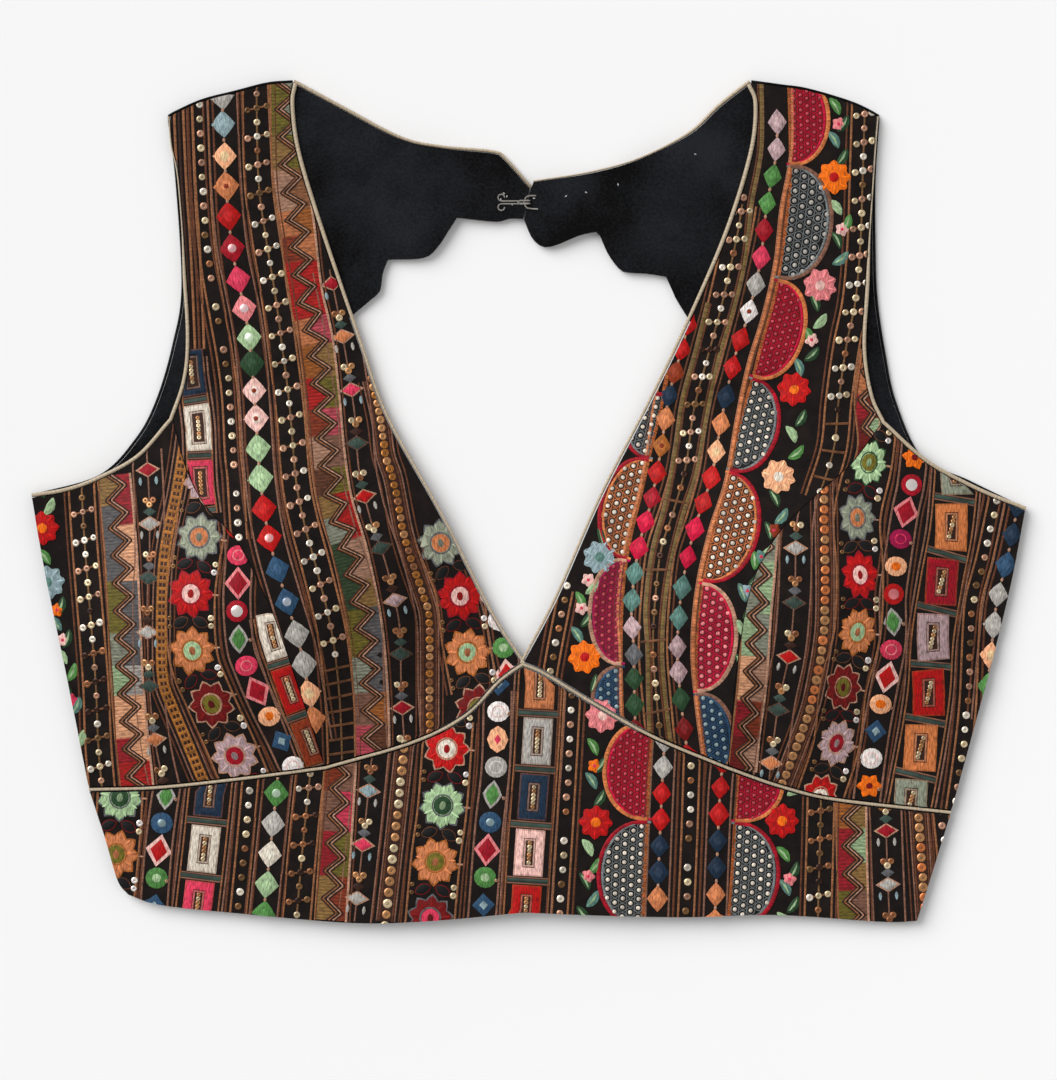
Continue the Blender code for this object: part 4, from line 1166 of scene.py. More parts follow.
STRAP_LEFT = [
    ("threads", 26, [(180, 86), (184, 180), (188, 240), (191, 300), (193, 350)], 118, {}),
    ("frames", 24, [(191, 358), (193, 380), (200, 428), (203, 480), (208, 515)], 428,
     {"names": ["ivory", "rose", "navy"], "width": 0.9, "slot": 3.7}),
    ("beads", 15, [(200, 92), (203, 177), (206, 232), (211, 274), (219, 320), (226, 360), (231, 400),
                   (235, 455), (238, 480), (243, 540)], 120, {"bright": 0.85}),
    ("diamonds", 29, [(222, 82), (227, 188), (233, 250), (241, 290), (250, 340), (257, 418), (263, 482),
                      (273, 540), (290, 600), (305, 655), (318, 740)], 97,
     {"marks": ["silver", "mist", "peach", "amber+d", "red", "crimson+m", "rose", "pink+m", "mint+m",
                "forest", "blush+d", "blush+d", "mint", "mint", "red", "red+m", "blue", "blue+m",
                "silver", "silver", "peach", "amber"],
      "places": [97, 125, 157, 187, 217, 249, 280, 309, 338, 364, 391, 419, 449, 479, 509, 538, 569, 601,
                 633, 663, 692, 718]}),
    ("crosses", 26, [(257, 80), (259, 178), (266, 235), (275, 290), (282, 340), (291, 412), (298, 480),
                     (306, 520), (321, 575), (334, 632), (341, 700), (343, 765)], 109,
     {"bright": 0.86, "tied": 665}),
    ("zigzag", 34, [(285, 74), (290, 170), (298, 230), (305, 290), (316, 340), (323, 400), (328, 450),
                    (336, 500), (351, 550), (362, 600), (368, 640), (372, 700), (373, 755)], 110,
     {"patches": [(90, "olive", "sage"), (135, "khaki", "olive"), (170, "rose_tan", "tan"),
                  (210, "amber", "rust"), (236, "ember", "amber"), (262, "red", "red"),
                  (318, "amber", "dusty"), (345, "rust", "khaki"), (378, "red", "olive"),
                  (408, "ember", "dusty"),
                  (436, "rose_tan", "taupe"), (468, "brown", "olive"), (494, "khaki", "red"),
                  (515, "sage", "red"), (540, "forest", "rose_tan"), (580, "forest", "khaki"),
                  (608, "olive", "ash"), (655, "sage", "ash"), (692, "taupe", "rust"),
                  (725, "dusty", "brown")]}),
    ("strings", 32, [(330, 270), (340, 320), (349, 372), (356, 422), (360, 470), (372, 520), (386, 560),
                     (396, 600), (401, 632), (402, 690), (405, 745)], 390,
     {"names": ["rose", "slate", "red", "slate", "lilac", "slate", "crimson", "amber"]}),
    ("chain", 17, [(372, 380), (381, 420), (386, 455), (394, 480), (404, 530), (414, 565), (424, 595),
                   (429, 615), (430, 650), (430, 745)], 420,
     {"names": ("honey", "tan", "braid"), "pitch": 3.7, "size": 0.98}),
    ("stars", 44, [(438, 533), (441, 543), (459, 590), (466, 642), (475, 690)], 543,
     {"kinds": STAR_ORDER}),
    ("charms", 24, [(480, 560), (497, 610), (506, 660), (508, 690)], 620,
     {"order": ["disc", "green_disc", "red_gem"]}),
]

SIDE_LEFT_COLUMNS = [
    ("vine", 36, [(44, 490), (46, 528), (52, 582), (59, 620), (66, 660), (76, 740)], 528,
     {"flowers": [(528, "red"), (582, "mist")], "buds": [(610, "orange"), (640, "blush"), (700, "rose")]}),
    ("crosses", 24, [(82, 480), (86, 540), (92, 610), (97, 680), (99, 740), (103, 790)], 512,
     {"bright": 0.7}),
    ("zigzag", 33, [(115, 475), (119, 510), (124, 560), (127, 620), (129, 680), (133, 740), (138, 790)],
     500, {"patches": [(475, "khaki", "crimson"), (505, "ash", "crimson"), (525, "ash", "peach"),
                       (580, "olive", "ash"), (632, "sage", "ash"), (665, "mint", "silver"),
                       (695, "peach", "peach"), (738, "crimson", "peach"), (762, "red", "red")]}),
    ("strings", 28, [(148, 450), (152, 505), (153, 560), (151, 600), (152, 690), (157, 745), (166, 790)],
     470, {"names": ["crimson", "silver", "slate", "silver", "slate", "amber"]}),
    ("chain", 17, [(188, 425), (184, 460), (179, 495), (172, 530), (167, 570), (165, 640), (166, 680),
                   (174, 705), (188, 740), (206, 785)], 470,
     {"pitch": 3.1, "rungs": True}),
    ("stars", 46, [(206, 510), (203, 537), (195, 594), (197, 655), (212, 698), (231, 742), (250, 790)],
     537, {"kinds": STAR_ORDER}),
    ("charms", 25, [(240, 520), (243, 555), (241, 600), (244, 645), (251, 668), (266, 705), (286, 748),
                    (304, 790)], 555,
     {"order": ["rose_disc", "gem", "mirror", "leaf", "rose_disc", "gem", "amber_disc", "kite",
                "disc", "red_mirror"]}),
    ("frames", 28, [(272, 615), (277, 640), (293, 690), (313, 745), (328, 790)], 635,
     {"names": ["ivory", "red", "ember"], "width": 0.85}),
]

STRAP_RIGHT = [
    ("beads", 13, [(566, 590), (556, 640), (547, 690)], 614, {"bright": 0.8}),
    ("vine", 30, [(604, 538), (592, 570), (582, 610), (581, 650), (590, 690), (604, 740)], 560,
     {"flowers": [(556, "mist"), (657, "orange"), (715, "pink")], "buds": [(580, "blush"), (608, "blush")],
      "side": -1}),
    ("moons", 4, [(668, 370), (660, 410), (650, 450), (641, 490), (629, 540), (622, 590), (620, 650),
                  (622, 740)], 410,
     {"rows": [(395, 458, 14.0, "pearl"), (460, 558, 16.0, "cocoa"), (560, 663, 14.0, "wine"),
               (666, 740, 13.0, "azure")], "side": -1}),
    ("diamonds", 24, [(694, 300), (682, 348), (669, 395), (661, 447), (651, 500), (638, 548), (631, 605),
                      (633, 650), (634, 700), (636, 750)], 325,
     {"marks": ["red", "red", "ember", "navy", "amber", "rust+d", "red", "crimson", "raspberry",
                "raspberry", "teal", "teal", "lilac", "ash", "forest", "forest", "deep_red"],
      "places": [325, 350, 373, 396, 419, 446, 473, 498, 522, 548, 573, 600, 627, 654, 678, 704, 730],
      "size": (0.72, 0.84), "braids": ("amber", "moss")}),
    ("crosses", 26, [(742, 205), (736, 240), (722, 303), (708, 355), (694, 408), (685, 467), (673, 510),
                     (660, 550), (654, 600), (652, 650), (656, 700), (661, 750)], 240,
     {"bright": 0.6, "spread": 3.4, "tied": 465, "low_cycle": "1111-"}),
    ("diamonds", 27, [(776, 74), (776, 150), (766, 208), (760, 262), (748, 314), (733, 363), (721, 420),
                      (710, 478), (694, 527), (681, 585), (676, 645), (680, 700), (687, 755)], 123,
     {"marks": ["lilac", "lilac", "green", "green", "crimson", "rose", "silver", "white+d", "red",
                "red", "navy", "amber", "peach", "red", "red", "raspberry", "raspberry", "teal", "teal",
                "lilac", "lilac", "forest", "deep_red", "red"],
      "places": [123, 150, 177, 204, 231, 258, 285, 312, 340, 368, 397, 424, 452, 478, 503, 529, 557, 587,
                 617, 646, 671, 698, 728, 755],
      "size": (0.7, 0.86), "braids": ("moss", "amber")}),
    ("moons", 4, [(788, 66), (790, 130), (790, 180), (785, 230), (776, 290), (764, 335), (752, 380),
                  (739, 425), (729, 470), (712, 530), (700, 590), (695, 650), (698, 710), (706, 765)], 92,
     {"rows": [(74, 165, 17.0, "red"), (167, 278, 20.0, "navy"), (281, 377, 17.0, "red"),
               (379, 470, 17.0, "pearl"), (473, 580, 19.0, "cocoa"), (583, 690, 17.0, "magenta"),
               (693, 775, 14.0, "azure")]}),
    ("vine", 30, [(839, 74), (836, 178), (840, 240), (822, 287), (810, 340), (796, 390), (793, 440),
                  (779, 478), (770, 530), (748, 575), (740, 620), (745, 700)], 178,
     {"flowers": [(178, "orange"), (287, "pink"), (390, "red"), (478, "peach")],
      "buds": [(125, "pink"), (230, "blush"), (340, "blush"), (530, "ember"), (556, "teal"), (590, "mist")]}),
    ("crosses", 24, [(865, 84), (862, 180), (860, 240), (855, 300), (846, 345), (838, 400), (832, 450),
                     (815, 500)], 115, {"bright": 0.8, "spread": 3.4, "tied": 398, "low_cycle": "-1"}),
    ("zigzag", 24, [(872, 350), (866, 400), (868, 450), (850, 500)], 400,
     {"patches": [(350, "amber", "rust"), (395, "crimson", "ember"), (420, "deep_red", "mint")]}),
]

SIDE_RIGHT_COLUMNS = [
    ("zigzag", 28, [(762, 520), (757, 575), (753, 620), (751, 660), (748, 700), (741, 770)], 560,
     {"patches": [(520, "forest", "sage"), (560, "sage", "mint"), (612, "mint", "sage"),
                  (655, "peach", "rose_tan"), (700, "crimson", "ember"), (735, "deep_red", "rose_tan")]}),
    ("strings", 30, [(800, 490), (793, 530), (791, 590), (786, 650), (776, 705), (768, 780)], 548,
     {"names": ["silver", "slate", "red", "slate", "amber", "slate"]}),
    ("chain", 17, [(828, 430), (823, 470), (821, 500), (821, 600), (819, 640), (811, 690), (805, 715),
                   (795, 745), (779, 790)], 470, {}),
    ("stars", 44, [(874, 410), (867, 463), (854, 518), (856, 573), (853, 634), (840, 687), (835, 742),
                   (818, 800)], 463, {"kinds": ["mint/olive/forest", "sage/amber/ash",
                                                "red/blush/crimson", "amber/mint/rust",
                                                "deep_red/olive/rose_tan", "lilac/crimson/rose_tan",
                                                "red/ivory/rose_tan"], "width": 0.8}),
    ("charms", 25, [(915, 440), (909, 485), (902, 515), (893, 568), (889, 598), (889, 640), (882, 683),
                    (874, 735), (866, 800)], 485,
     {"order": ["mirror", "gem", "magenta_disc", "amber_disc", "red_mirror", "leaf", "rose_disc",
                "red_gem", "amber_disc", "kite", "disc", "blossom"]}),
    ("frames", 42, [(957, 460), (950, 527), (939, 582), (930, 637), (927, 692), (920, 745), (908, 810)],
     527, {"names": ["cord", "crimson", "lilac", "red", "cord", "sage"], "lean": 7.0,
           "width": 1.12}),
    ("beads", 16, [(1000, 480), (992, 520), (983, 560), (972, 600), (969, 640), (967, 700), (962, 750),
                   (952, 820)], 515, {"bright": 0.7}),
    ("diamonds", 26, [(1022, 480), (1012, 530), (1005, 565), (996, 600), (990, 653), (984, 720)], 505,
     {"marks": ["navy", "navy", "blue", "silver", "silver", "peach", "green"], "size": (0.8, 0.88)}),
]

BAND_COLUMNS = [
    ("stars", 42, [(122, 770), (119, 830), (111, 915)], 797, {"kinds": ["mint/forest/ash",
                                                                        "amber/olive/rust"]}),
    ("charms", 25, [(170, 770), (160, 842), (154, 915)], 795,
     {"order": ["leaf", "blue_disc", "red_gem", "green_disc", "kite"]}),
    ("frames", 41, [(213, 770), (205, 847), (197, 915)], 793, {"names": ["navy", "ivory", "rose"]}),
    ("beads", 15, [(252, 770), (245, 850), (238, 920)], 790, {"bright": 0.4}),
    ("diamonds", 27, [(280, 765), (271, 850), (263, 925)], 762,
     {"marks": ["forest", "green+m", "silver", "ivory", "mint", "green"]}),
    ("crosses", 26, [(313, 755), (305, 830), (297, 920)], 787, {"bright": 0.4}),
    ("zigzag", 31, [(342, 745), (337, 830), (331, 920)], 760,
     {"patches": [(745, "ember", "taupe"), (790, "taupe", "rose"), (830, "crimson", "olive"),
                  (875, "khaki", "ember")]}),
    ("strings", 31, [(374, 740), (366, 820), (355, 920)], 790, {"names": ["mist", "rose", "silver"]}),
    ("chain", 17, [(406, 735), (397, 820), (386, 920)], 770,
     {"names": ("cream", "honey"), "pitch": 4.9}),
    ("stars", 46, [(449, 720), (443, 804), (436, 858), (430, 925)], 748,
     {"kinds": ["red/ivory/rose_tan", "mint/forest/ash", "amber/olive/rust", "deep_red/rose/ash"]}),
    ("charms", 26, [(498, 690), (496, 765), (489, 830), (482, 920)], 711,
     {"order": ["disc", "salmon", "silver_disc", "leaf", "blue_disc", "gem", "green_disc", "kite"]}),
    ("frames", 42, [(541, 670), (536, 760), (530, 840), (525, 920)], 685,
     {"names": ["amber", "silver", "navy", "blush", "red"]}),
    ("beads", 15, [(573, 680), (567, 790), (559, 920)], 695, {"bright": 0.85}),
    ("vine", 30, [(603, 680), (596, 750), (594, 800), (590, 860), (585, 920)], 715,
     {"flowers": [(715, "pink"), (821, "red")], "buds": [(765, "orange"), (875, "pink")], "side": -1}),
    ("moons", 4, [(655, 700), (650, 750), (646, 830), (642, 925)], 730,
     {"rows": [(722, 818, 20.0, "red"), (821, 925, 20.5, "pearl")], "side": -1}),
    ("diamonds", 22, [(665, 720), (661, 800), (656, 925)], 740,
     {"marks": ["silver", "silver", "red", "red", "navy", "navy", "amber"], "pitch": 11.6,
      "size": (0.74, 0.84)}),
    ("beads", 15, [(692, 730), (689, 830), (685, 925)], 765, {"bright": 0.6}),
    ("diamonds", 22, [(724, 740), (719, 800), (714, 925)], 760,
     {"marks": ["red", "red", "red", "navy", "navy", "amber", "amber"], "pitch": 11.8,
      "size": (0.74, 0.84)}),
    ("moons", 4, [(740, 740), (736, 800), (732, 870), (728, 925)], 770,
     {"rows": [(745, 820, 20.0, "red"), (822, 925, 20.5, "pearl")]}),
    ("vine", 30, [(790, 770), (784, 820), (788, 880), (785, 925)], 820,
     {"flowers": [(820, "red")], "buds": [(878, "pink")]}),
    ("crosses", 25, [(821, 770), (819, 850), (817, 925)], 810, {"bright": 0.3}),
    ("zigzag", 30, [(850, 780), (851, 850), (853, 925)], 790,
     {"patches": [(780, "rust", "khaki"), (828, "crimson", "mint"), (862, "crimson", "khaki"),
                  (890, "olive", "taupe")]}),
    ("strings", 30, [(884, 780), (886, 850), (889, 925)], 830, {"names": ["crimson", "silver"]}),
    ("chain", 17, [(916, 785), (920, 850), (925, 925)], 817, {}),
    ("beads", 15, [(938, 790), (944, 850), (950, 920)], 825, {}),
]

KINDS = {"stars": stars, "charms": charms, "threads": threads, "frames": frames, "diamonds": diamonds,
         "crosses": crosses, "beads": beads, "chain": chain, "zigzag": zigzag, "strings": strings,
         "vine": vine}

# The threads that edge a column, by kind. Rows: distance outside its half width, half width, dye.
EDGING = {
    "stars": [(0.6, 0.46, "tan"), (2.6, 0.42, "brown")],
    "charms": [(0.4, 0.46, "taupe"), (2.4, 0.42, "brown")],
    "frames": [(0.3, 0.38, "tan"), (2.0, 0.42, "taupe")],
    "diamonds": [(0.2, 0.42, "taupe"), (2.2, 0.46, "brown")],
    "crosses": [(0.4, 0.46, "tan"), (2.4, 0.42, "brown")],
    "beads": [(0.2, 0.46, "tan"), (2.4, 0.5, "brown")],
    "chain": [(0.2, 0.36, "taupe"), (2.1, 0.36, "brown")],
    "zigzag": [],
    "strings": [(0.4, 0.42, "taupe")],
    "vine": [],
    "threads": [],
    "moons": [(0.0, 0.9, "cord")],
}

PANEL_COLUMNS = {"front_centre_left": STRAP_LEFT, "front_side_left": SIDE_LEFT_COLUMNS,
                 "front_centre_right": STRAP_RIGHT, "front_side_right": SIDE_RIGHT_COLUMNS,
                 "front_band": BAND_COLUMNS}
print({name: len(rows) for name, rows in PANEL_COLUMNS.items()}, "columns")

# %% [markdown]
# Motifs are stitched flat first and then laid on the panel. What falls outside the cut edge is
# brought back to it, as cloth is trimmed at a seam, and faces wholly outside are dropped. Then every
# point is lifted to the cloth's height at its own place.

# %% Laying the embroidery on a panel


def inside_outline(points, outline):
    """Even-odd rule: a line to the right crosses the outline an odd number of times."""
    answer = np.zeros(len(points), bool)
    for (ax, ay), (bx, by) in zip(outline, np.roll(outline, -1, axis=0)):
        if ay != by:
            reached = (bx - ax) * (points[:, 1] - ay) / (by - ay) + ax
            answer ^= ((ay > points[:, 1]) != (by > points[:, 1])) & (points[:, 0] < reached)
    return answer


def onto_outline(points, outline):
    """The nearest place on the outline, from the foot of a perpendicular on each stretch."""
    best = np.full(len(points), np.inf)
    spots = points.copy()
    for start, stop in zip(outline, np.roll(outline, -1, axis=0)):
        run = stop - start
        share = np.clip((points - start) @ run / max(run @ run, 1e-9), 0, 1)
        near = start + share[:, None] * run
        distance = ((points - near) ** 2).sum(axis=1)
        closer = distance < best
        best[closer] = distance[closer]
        spots[closer] = near[closer]
    return spots


def lay_stitching(name, work, outline, floor, base, materials):
    """One mesh from collected stitches: trimmed to the outline and lifted to floor(x, y) + base."""
    if not work.points:
        return None
    points = np.vstack(work.points)
    faces = np.vstack(work.faces)
    dyes = np.vstack(work.dyes)
    threads = np.vstack(work.threads)
    within = inside_outline(points[:, :2], outline)
    plan = points[:, :2].copy()
    plan[~within] = onto_outline(plan[~within], outline)
    a, b, c = plan[faces[:, 0]], plan[faces[:, 1]], plan[faces[:, 2]]
    doubled = (b[:, 0] - a[:, 0]) * (c[:, 1] - a[:, 1]) - (b[:, 1] - a[:, 1]) * (c[:, 0] - a[:, 0])
    kept = within[faces].any(axis=1) & (np.abs(doubled) > 1e-4)
    faces = np.where((doubled > 0)[:, None], faces, faces[:, ::-1])[kept]
    used, packed = np.unique(faces, return_inverse=True)
    faces = packed.reshape(faces.shape)
    plan, heights = plan[used], points[used, 2]
    spots = np.column_stack([plan, floor(plan) + base + heights]) * MM
    mesh = bpy.data.meshes.new(name)
    mesh.vertices.add(len(spots))
    mesh.vertices.foreach_set("co", spots.ravel())
    mesh.loops.add(faces.size)
    mesh.loops.foreach_set("vertex_index", faces.ravel())
    mesh.polygons.add(len(faces))
    mesh.polygons.foreach_set("loop_start", np.arange(0, faces.size, 3))
    mesh.polygons.foreach_set("loop_total", np.full(len(faces), 3))
    mesh.update()
    mesh.validate()
    dye = mesh.color_attributes.new(name="dye", type="FLOAT_COLOR", domain="POINT")
    shades = np.column_stack([np.clip(dyes[used], 0, 1), np.ones(len(used))])
    dye.data.foreach_set("color", shades.ravel())
    thread = mesh.uv_layers.new(name="thread")
    thread.data.foreach_set("uv", threads[used][faces.ravel()].ravel())
    for material in materials:
        mesh.materials.append(material)
    mesh.shade_smooth()
    made = bpy.data.objects.new(name, mesh)
    bpy.context.scene.collection.objects.link(made)
    return made


def embroider(node, columns, outline):
    """Stitch every column of a panel, then make its thread piece and its foil piece."""
    work = {"thread": Stitching(), "foil": Stitching()}
    for kind, width, path, first_y, rest in columns:
        column = Column(path, width)
        first = column.reach(first_y)
        for outside, half_width, dye in EDGING[kind]:
            offset = column.half + outside if kind != "moons" else 0.0
            line_down(work, column, -offset, half_width, dye)
            line_down(work, column, offset, half_width, dye)
        if kind == "moons":
            moons(work, column, rest["rows"], rest.get("side", 1))
        else:
            KINDS[kind](work, column, first, **rest)
    pieces = []
    for part, material in (("thread", THREAD), ("foil", SEQUIN)):
        piece = lay_stitching(node + "_" + part, work[part], outline, front_height, CLOTH_WALL, [material])
        if piece:
            pieces.append(piece)
            print(piece.name, len(piece.data.polygons), "triangles")
    return pieces


# %% Front panels
PANELS = {}
for node, grid in GRIDS.items():
    points, faces = wall_mesh(grid, front_height, CLOTH_WALL)
    panel = make_object(node + "_cloth", points, faces, [GROUND])
    stitched = embroider(node, PANEL_COLUMNS[node], rim_of(grid))
    PANELS[node] = (panel, stitched, grid)

# %% [markdown]
# The back shows only its black lining. A lining is soft, so its shell gets low swells where nothing
# lies on it, and none where the front covers it. The outside of the back is under the blouse, and is
# finished plainly in the ground cloth.

# %% Back edges
BACK_EDGES = {
    "left": {"neck": [(-104.1, 184.8), (-81.1, 172.4), (-56.8, 160.0), (-39.1, 156.0), (-16.1, 153.8),
                      (-10.6, 150.6), (0.2, 138.4)],
             "armhole": [(-158.0, 170.2), (-154.5, 142.3), (-151.8, 95.0), (-155.8, 69.4),
                         (-162.9, 45.1), (-172.2, 27.4), (-189.0, 10.6), UNDERARM["left"]],
             "top": [(0.2, 138.4), (-0.9, 131.5), (-2.4, 125.1)],
             "window": [[(-2.4, 125.1), (-8.6, 125.1), (-14.4, 123.8), (-31.6, 125.5)],
                        [(-31.6, 125.5), (-35.6, 119.3), (-40.0, 112.7), (-46.2, 107.8), (-62.1, 107.0)],
                        [(-62.1, 107.0), (-64.3, 101.2), (-65.6, 93.3), (-69.2, 89.7), (-82.0, 79.0)]],
             "scallops": [(-82.0, 79.0, 0.0), (-98.0, 44.0, 7.0), (-108.0, 6.0, 7.0),
                          (-108.0, -34.0, 7.0), (-95.0, -72.0, 7.0), (-66.0, -99.0, 7.0)]},
    "right": {"neck": [(98.3, 184.8), (84.6, 174.1), (71.4, 162.2), (49.3, 151.2), (27.2, 145.0),
                       (2.2, 141.0)],
              "armhole": [(153.6, 170.2), (151.8, 142.3), (151.8, 112.7), (152.7, 89.3), (156.2, 65.4),
                          (161.1, 43.3), (173.0, 18.6), (194.0, 8.2), UNDERARM["right"]],
              "top": [(2.2, 141.0), (0.6, 136.5), (-1.9, 124.6)],
              "window": [[(-1.9, 124.6), (1.5, 116.7), (6.4, 112.7), (12.6, 113.6), (22.3, 117.6),
                          (29.8, 119.3)],
                         [(29.8, 119.3), (31.6, 117.4), (35.1, 109.6), (40.0, 103.0), (43.4, 101.4),
                          (52.4, 100.8), (60.8, 99.5)],
                         [(60.8, 99.5), (63.4, 93.7), (66.5, 87.5), (79.0, 68.0)]],
              "scallops": [(79.0, 68.0, 0.0), (95.0, 34.0, 7.0), (104.0, -4.0, 7.0), (103.0, -42.0, 7.0),
                           (90.0, -76.0, 7.0), (64.0, -101.0, 7.0)]},
}
WINDOW_FOOT_Y = -104.0
CENTRE_LOW_X = 0.3
LINING_FLOOR, LINING_WALL = 1.6, 1.0


def scallop_chain(rows, turn, steps=10):
    """Arcs between corners: a chord plus four times the belly times share times what is left."""
    chain = [np.array(rows[0][:2])]
    share = np.arange(1, steps + 1)[:, None] / steps
    for (x0, y0, _), (x1, y1, belly) in zip(rows, rows[1:]):
        start = np.array([x0, y0])
        chord = np.array([x1, y1]) - start
        normal = turn * np.array([-chord[1], chord[0]]) / np.linalg.norm(chord)
        chain.append(start + chord * share + normal * 4 * belly * share * (1 - share))
    return np.vstack([chain[0][None]] + chain[1:])


def back_outline(side):
    """Once round a back half: shoulder, armhole, side, hem, middle, scalloped window and neck."""
    turn = 1 if side == "left" else -1
    rows = BACK_EDGES[side]
    shoulder = EDGES["shoulder_left"][::-1] if side == "left" else EDGES["shoulder_right"]
    hem = EDGES["hem_left"] if side == "left" else EDGES["hem_right"][::-1]
    low_x = -turn * CENTRE_LOW_X
    parts = [smooth_curve(rows["neck"], 60)[::-1], smooth_curve(shoulder, 24),
             smooth_curve(rows["armhole"], 60), smooth_curve(EDGES["side_" + side], 40)[::-1],
             smooth_curve(EDGES["band_" + side], 24)[::-1], smooth_curve(hem, 50)[:-1],
             np.array([[low_x, hem[-1][1]], [low_x, WINDOW_FOOT_Y]]),
             scallop_chain(rows["scallops"], turn)[::-1]]
    parts += [smooth_curve(arc, 16)[::-1] for arc in rows["window"][::-1]]
    parts.append(smooth_curve(rows["top"], 8)[::-1])
    walk = [parts[0]]
    for part in parts[1:]:
        walk.append(part[1:] if np.linalg.norm(part[0] - walk[-1][-1]) < 1e-6 else part)
    outline = np.vstack(walk)
    if np.linalg.norm(outline[0] - outline[-1]) < 1e-6:
        outline = outline[:-1]
    return outline + np.array(BOX_SHIFT)


def lining_height(points):
    """Swells of the lining: two crossing sine waves, gone within 30 mm of what lies on it."""
    x, y = points[:, 0], points[:, 1]
    open_share = np.clip((y - 95.0) / 35.0, 0, 1) * np.clip((112.0 - np.abs(x)) / 30.0, 0, 1)
    waves = np.sin(x / 8.5 + 0.9 * np.sin(y / 11.0)) + 0.7 * np.sin(y / 6.5 + x / 17.0)
    return LINING_FLOOR + LINING_WALL + open_share * (1.2 + 0.85 * waves)


def flat_cloth(name, outline, low, top, material, step=3.2):
    """A closed wall on an outline: filled with grid points, joined by the Delaunay rule."""
    from mathutils.geometry import delaunay_2d_cdt
    lowest, highest = outline.min(axis=0), outline.max(axis=0)
    x, y = np.meshgrid(np.arange(lowest[0], highest[0], step), np.arange(lowest[1], highest[1], step))
    y = y + (np.arange(x.shape[1]) % 2) * step / 2
    fill = np.column_stack([x.ravel(), y.ravel()])
    fill = fill[inside_outline(fill, outline)]
    near = onto_outline(fill, outline)
    fill = fill[np.linalg.norm(fill - near, axis=1) > step * 0.45]
    count = len(outline)
    edges = [(index, (index + 1) % count) for index in range(count)]
    plan = np.vstack([outline, fill])
    found = delaunay_2d_cdt(plan.tolist(), edges, [], 1, 1e-4)
    plan = np.array([tuple(point) for point in found[0]])
    faces = np.array(found[2])
    a, b, c = plan[faces[:, 0]], plan[faces[:, 1]], plan[faces[:, 2]]
    doubled = (b[:, 0] - a[:, 0]) * (c[:, 1] - a[:, 1]) - (b[:, 1] - a[:, 1]) * (c[:, 0] - a[:, 0])
    faces = np.where((doubled > 0)[:, None], faces, faces[:, ::-1])
    total = len(plan)
    under = np.column_stack([plan, np.full(total, low)])
    over = np.column_stack([plan, top(plan)])
    sides = np.vstack([faces[:, [0, 1]], faces[:, [1, 2]], faces[:, [2, 0]]])
    keys = {tuple(side) for side in sides.tolist()}
    rim = np.array([side for side in sides.tolist() if (side[1], side[0]) not in keys])
    walls = np.column_stack([rim[:, 0], rim[:, 1], rim[:, 1] + total, rim[:, 0] + total])
    every = faces[:, ::-1].tolist() + (faces + total).tolist() + walls.tolist()
    cloth = make_object(name, np.vstack([under, over]), every, [material])
    area = 0.5 * np.abs(doubled).sum()
    return cloth, area


# %% Back cloth and lining
BACKS = {}
for side in ("left", "right"):
    outline = back_outline(side)
    cloth, area = flat_cloth("back_" + side + "_cloth", outline, 0.0,
                             lambda plan: np.full(len(plan), CLOTH_WALL), GROUND, step=9.0)
    BACKS["back_" + side] = (cloth, outline, area)
    lining, area = flat_cloth("back_lining_" + side + "_cloth", outline, LINING_FLOOR, lining_height, LINING)
    BACKS["back_lining_" + side] = (lining, outline, area)
print({name: round(item[2] / 100) for name, item in BACKS.items()}, "square centimetres")

# %% [markdown]
# Piping is a cord in a bias strip. It shows as a fine twist of gold, so each cord is a round tube on
# the panel's edge, with stripes in its own map that run along it and round it.

# %% Piping
PIPING_RADIUS, ARMHOLE_BACK_RADIUS, UNDERBUST_RADIUS = 1.1, 0.8, 1.0
STRAP_TURN_UNDER_Y = 104.0
GAP = 0.3


def tube(name, path, radius, material, sides=10):
    """Rings across a path, each turned square to it, and joined; both ends are closed.

    The radius is one number, or one for each point of the path.
    """
    radius = np.broadcast_to(radius, len(path))[:, None, None]
    forward = np.gradient(path, axis=0)
    forward /= np.linalg.norm(forward, axis=1)[:, None]
    across = np.cross(forward, [0.0, 0.0, 1.0])
    across /= np.linalg.norm(across, axis=1)[:, None]
    upward = np.cross(across, forward)
    turn = np.arange(sides) * 2 * math.pi / sides
    rings = (path[:, None] + radius * (np.cos(turn)[None, :, None] * across[:, None]
                                       + np.sin(turn)[None, :, None] * upward[:, None]))
    count = len(path)
    index = np.arange(count * sides).reshape(count, sides)
    beside = np.roll(index, -1, axis=1)
    faces = np.dstack([index[:-1], beside[:-1], beside[1:], index[1:]]).reshape(-1, 4).tolist()
    faces += [index[0, ::-1].tolist(), index[-1].tolist()]
    made = make_object(name, rings.reshape(-1, 3), faces, [material])
    length = np.concatenate([[0.0], np.cumsum(np.linalg.norm(np.diff(path, axis=0), axis=1))])
    mesh = made.data
    loops = np.empty(len(mesh.loops), np.int64)
    mesh.loops.foreach_get("vertex_index", loops)
    around = (loops % sides) / sides
    twist = length[loops // sides] + around * 1.6
    thread = mesh.uv_layers.new(name="thread")
    thread.data.foreach_set("uv", np.column_stack([twist, around]).ravel())
    return made


def edge_piping(name, line, turn, radius, floor, finish=PIPING, fullness=0.8):
    """A cord just outside an edge; turn is 1 where the outside is to the left."""
    thick = radius * np.broadcast_to(fullness, len(line))
    path = line + side_normals(line) * turn * (thick + GAP)[:, None]
    piping = tube(name + "_cord", np.column_stack([path, floor(line) + (radius + thick) / 2]), thick, finish)
    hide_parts(name)
    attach(piping, "root")
    return piping


def ramp(values, start, stop, low, high):
    """A smooth change from low to high between two values: 3t² - 2t³."""
    share = np.clip((values - start) / (stop - start), 0, 1)
    return low + (high - low) * share ** 2 * (3 - 2 * share)


def on_table(points):
    return np.full(len(points), GAP / 2)


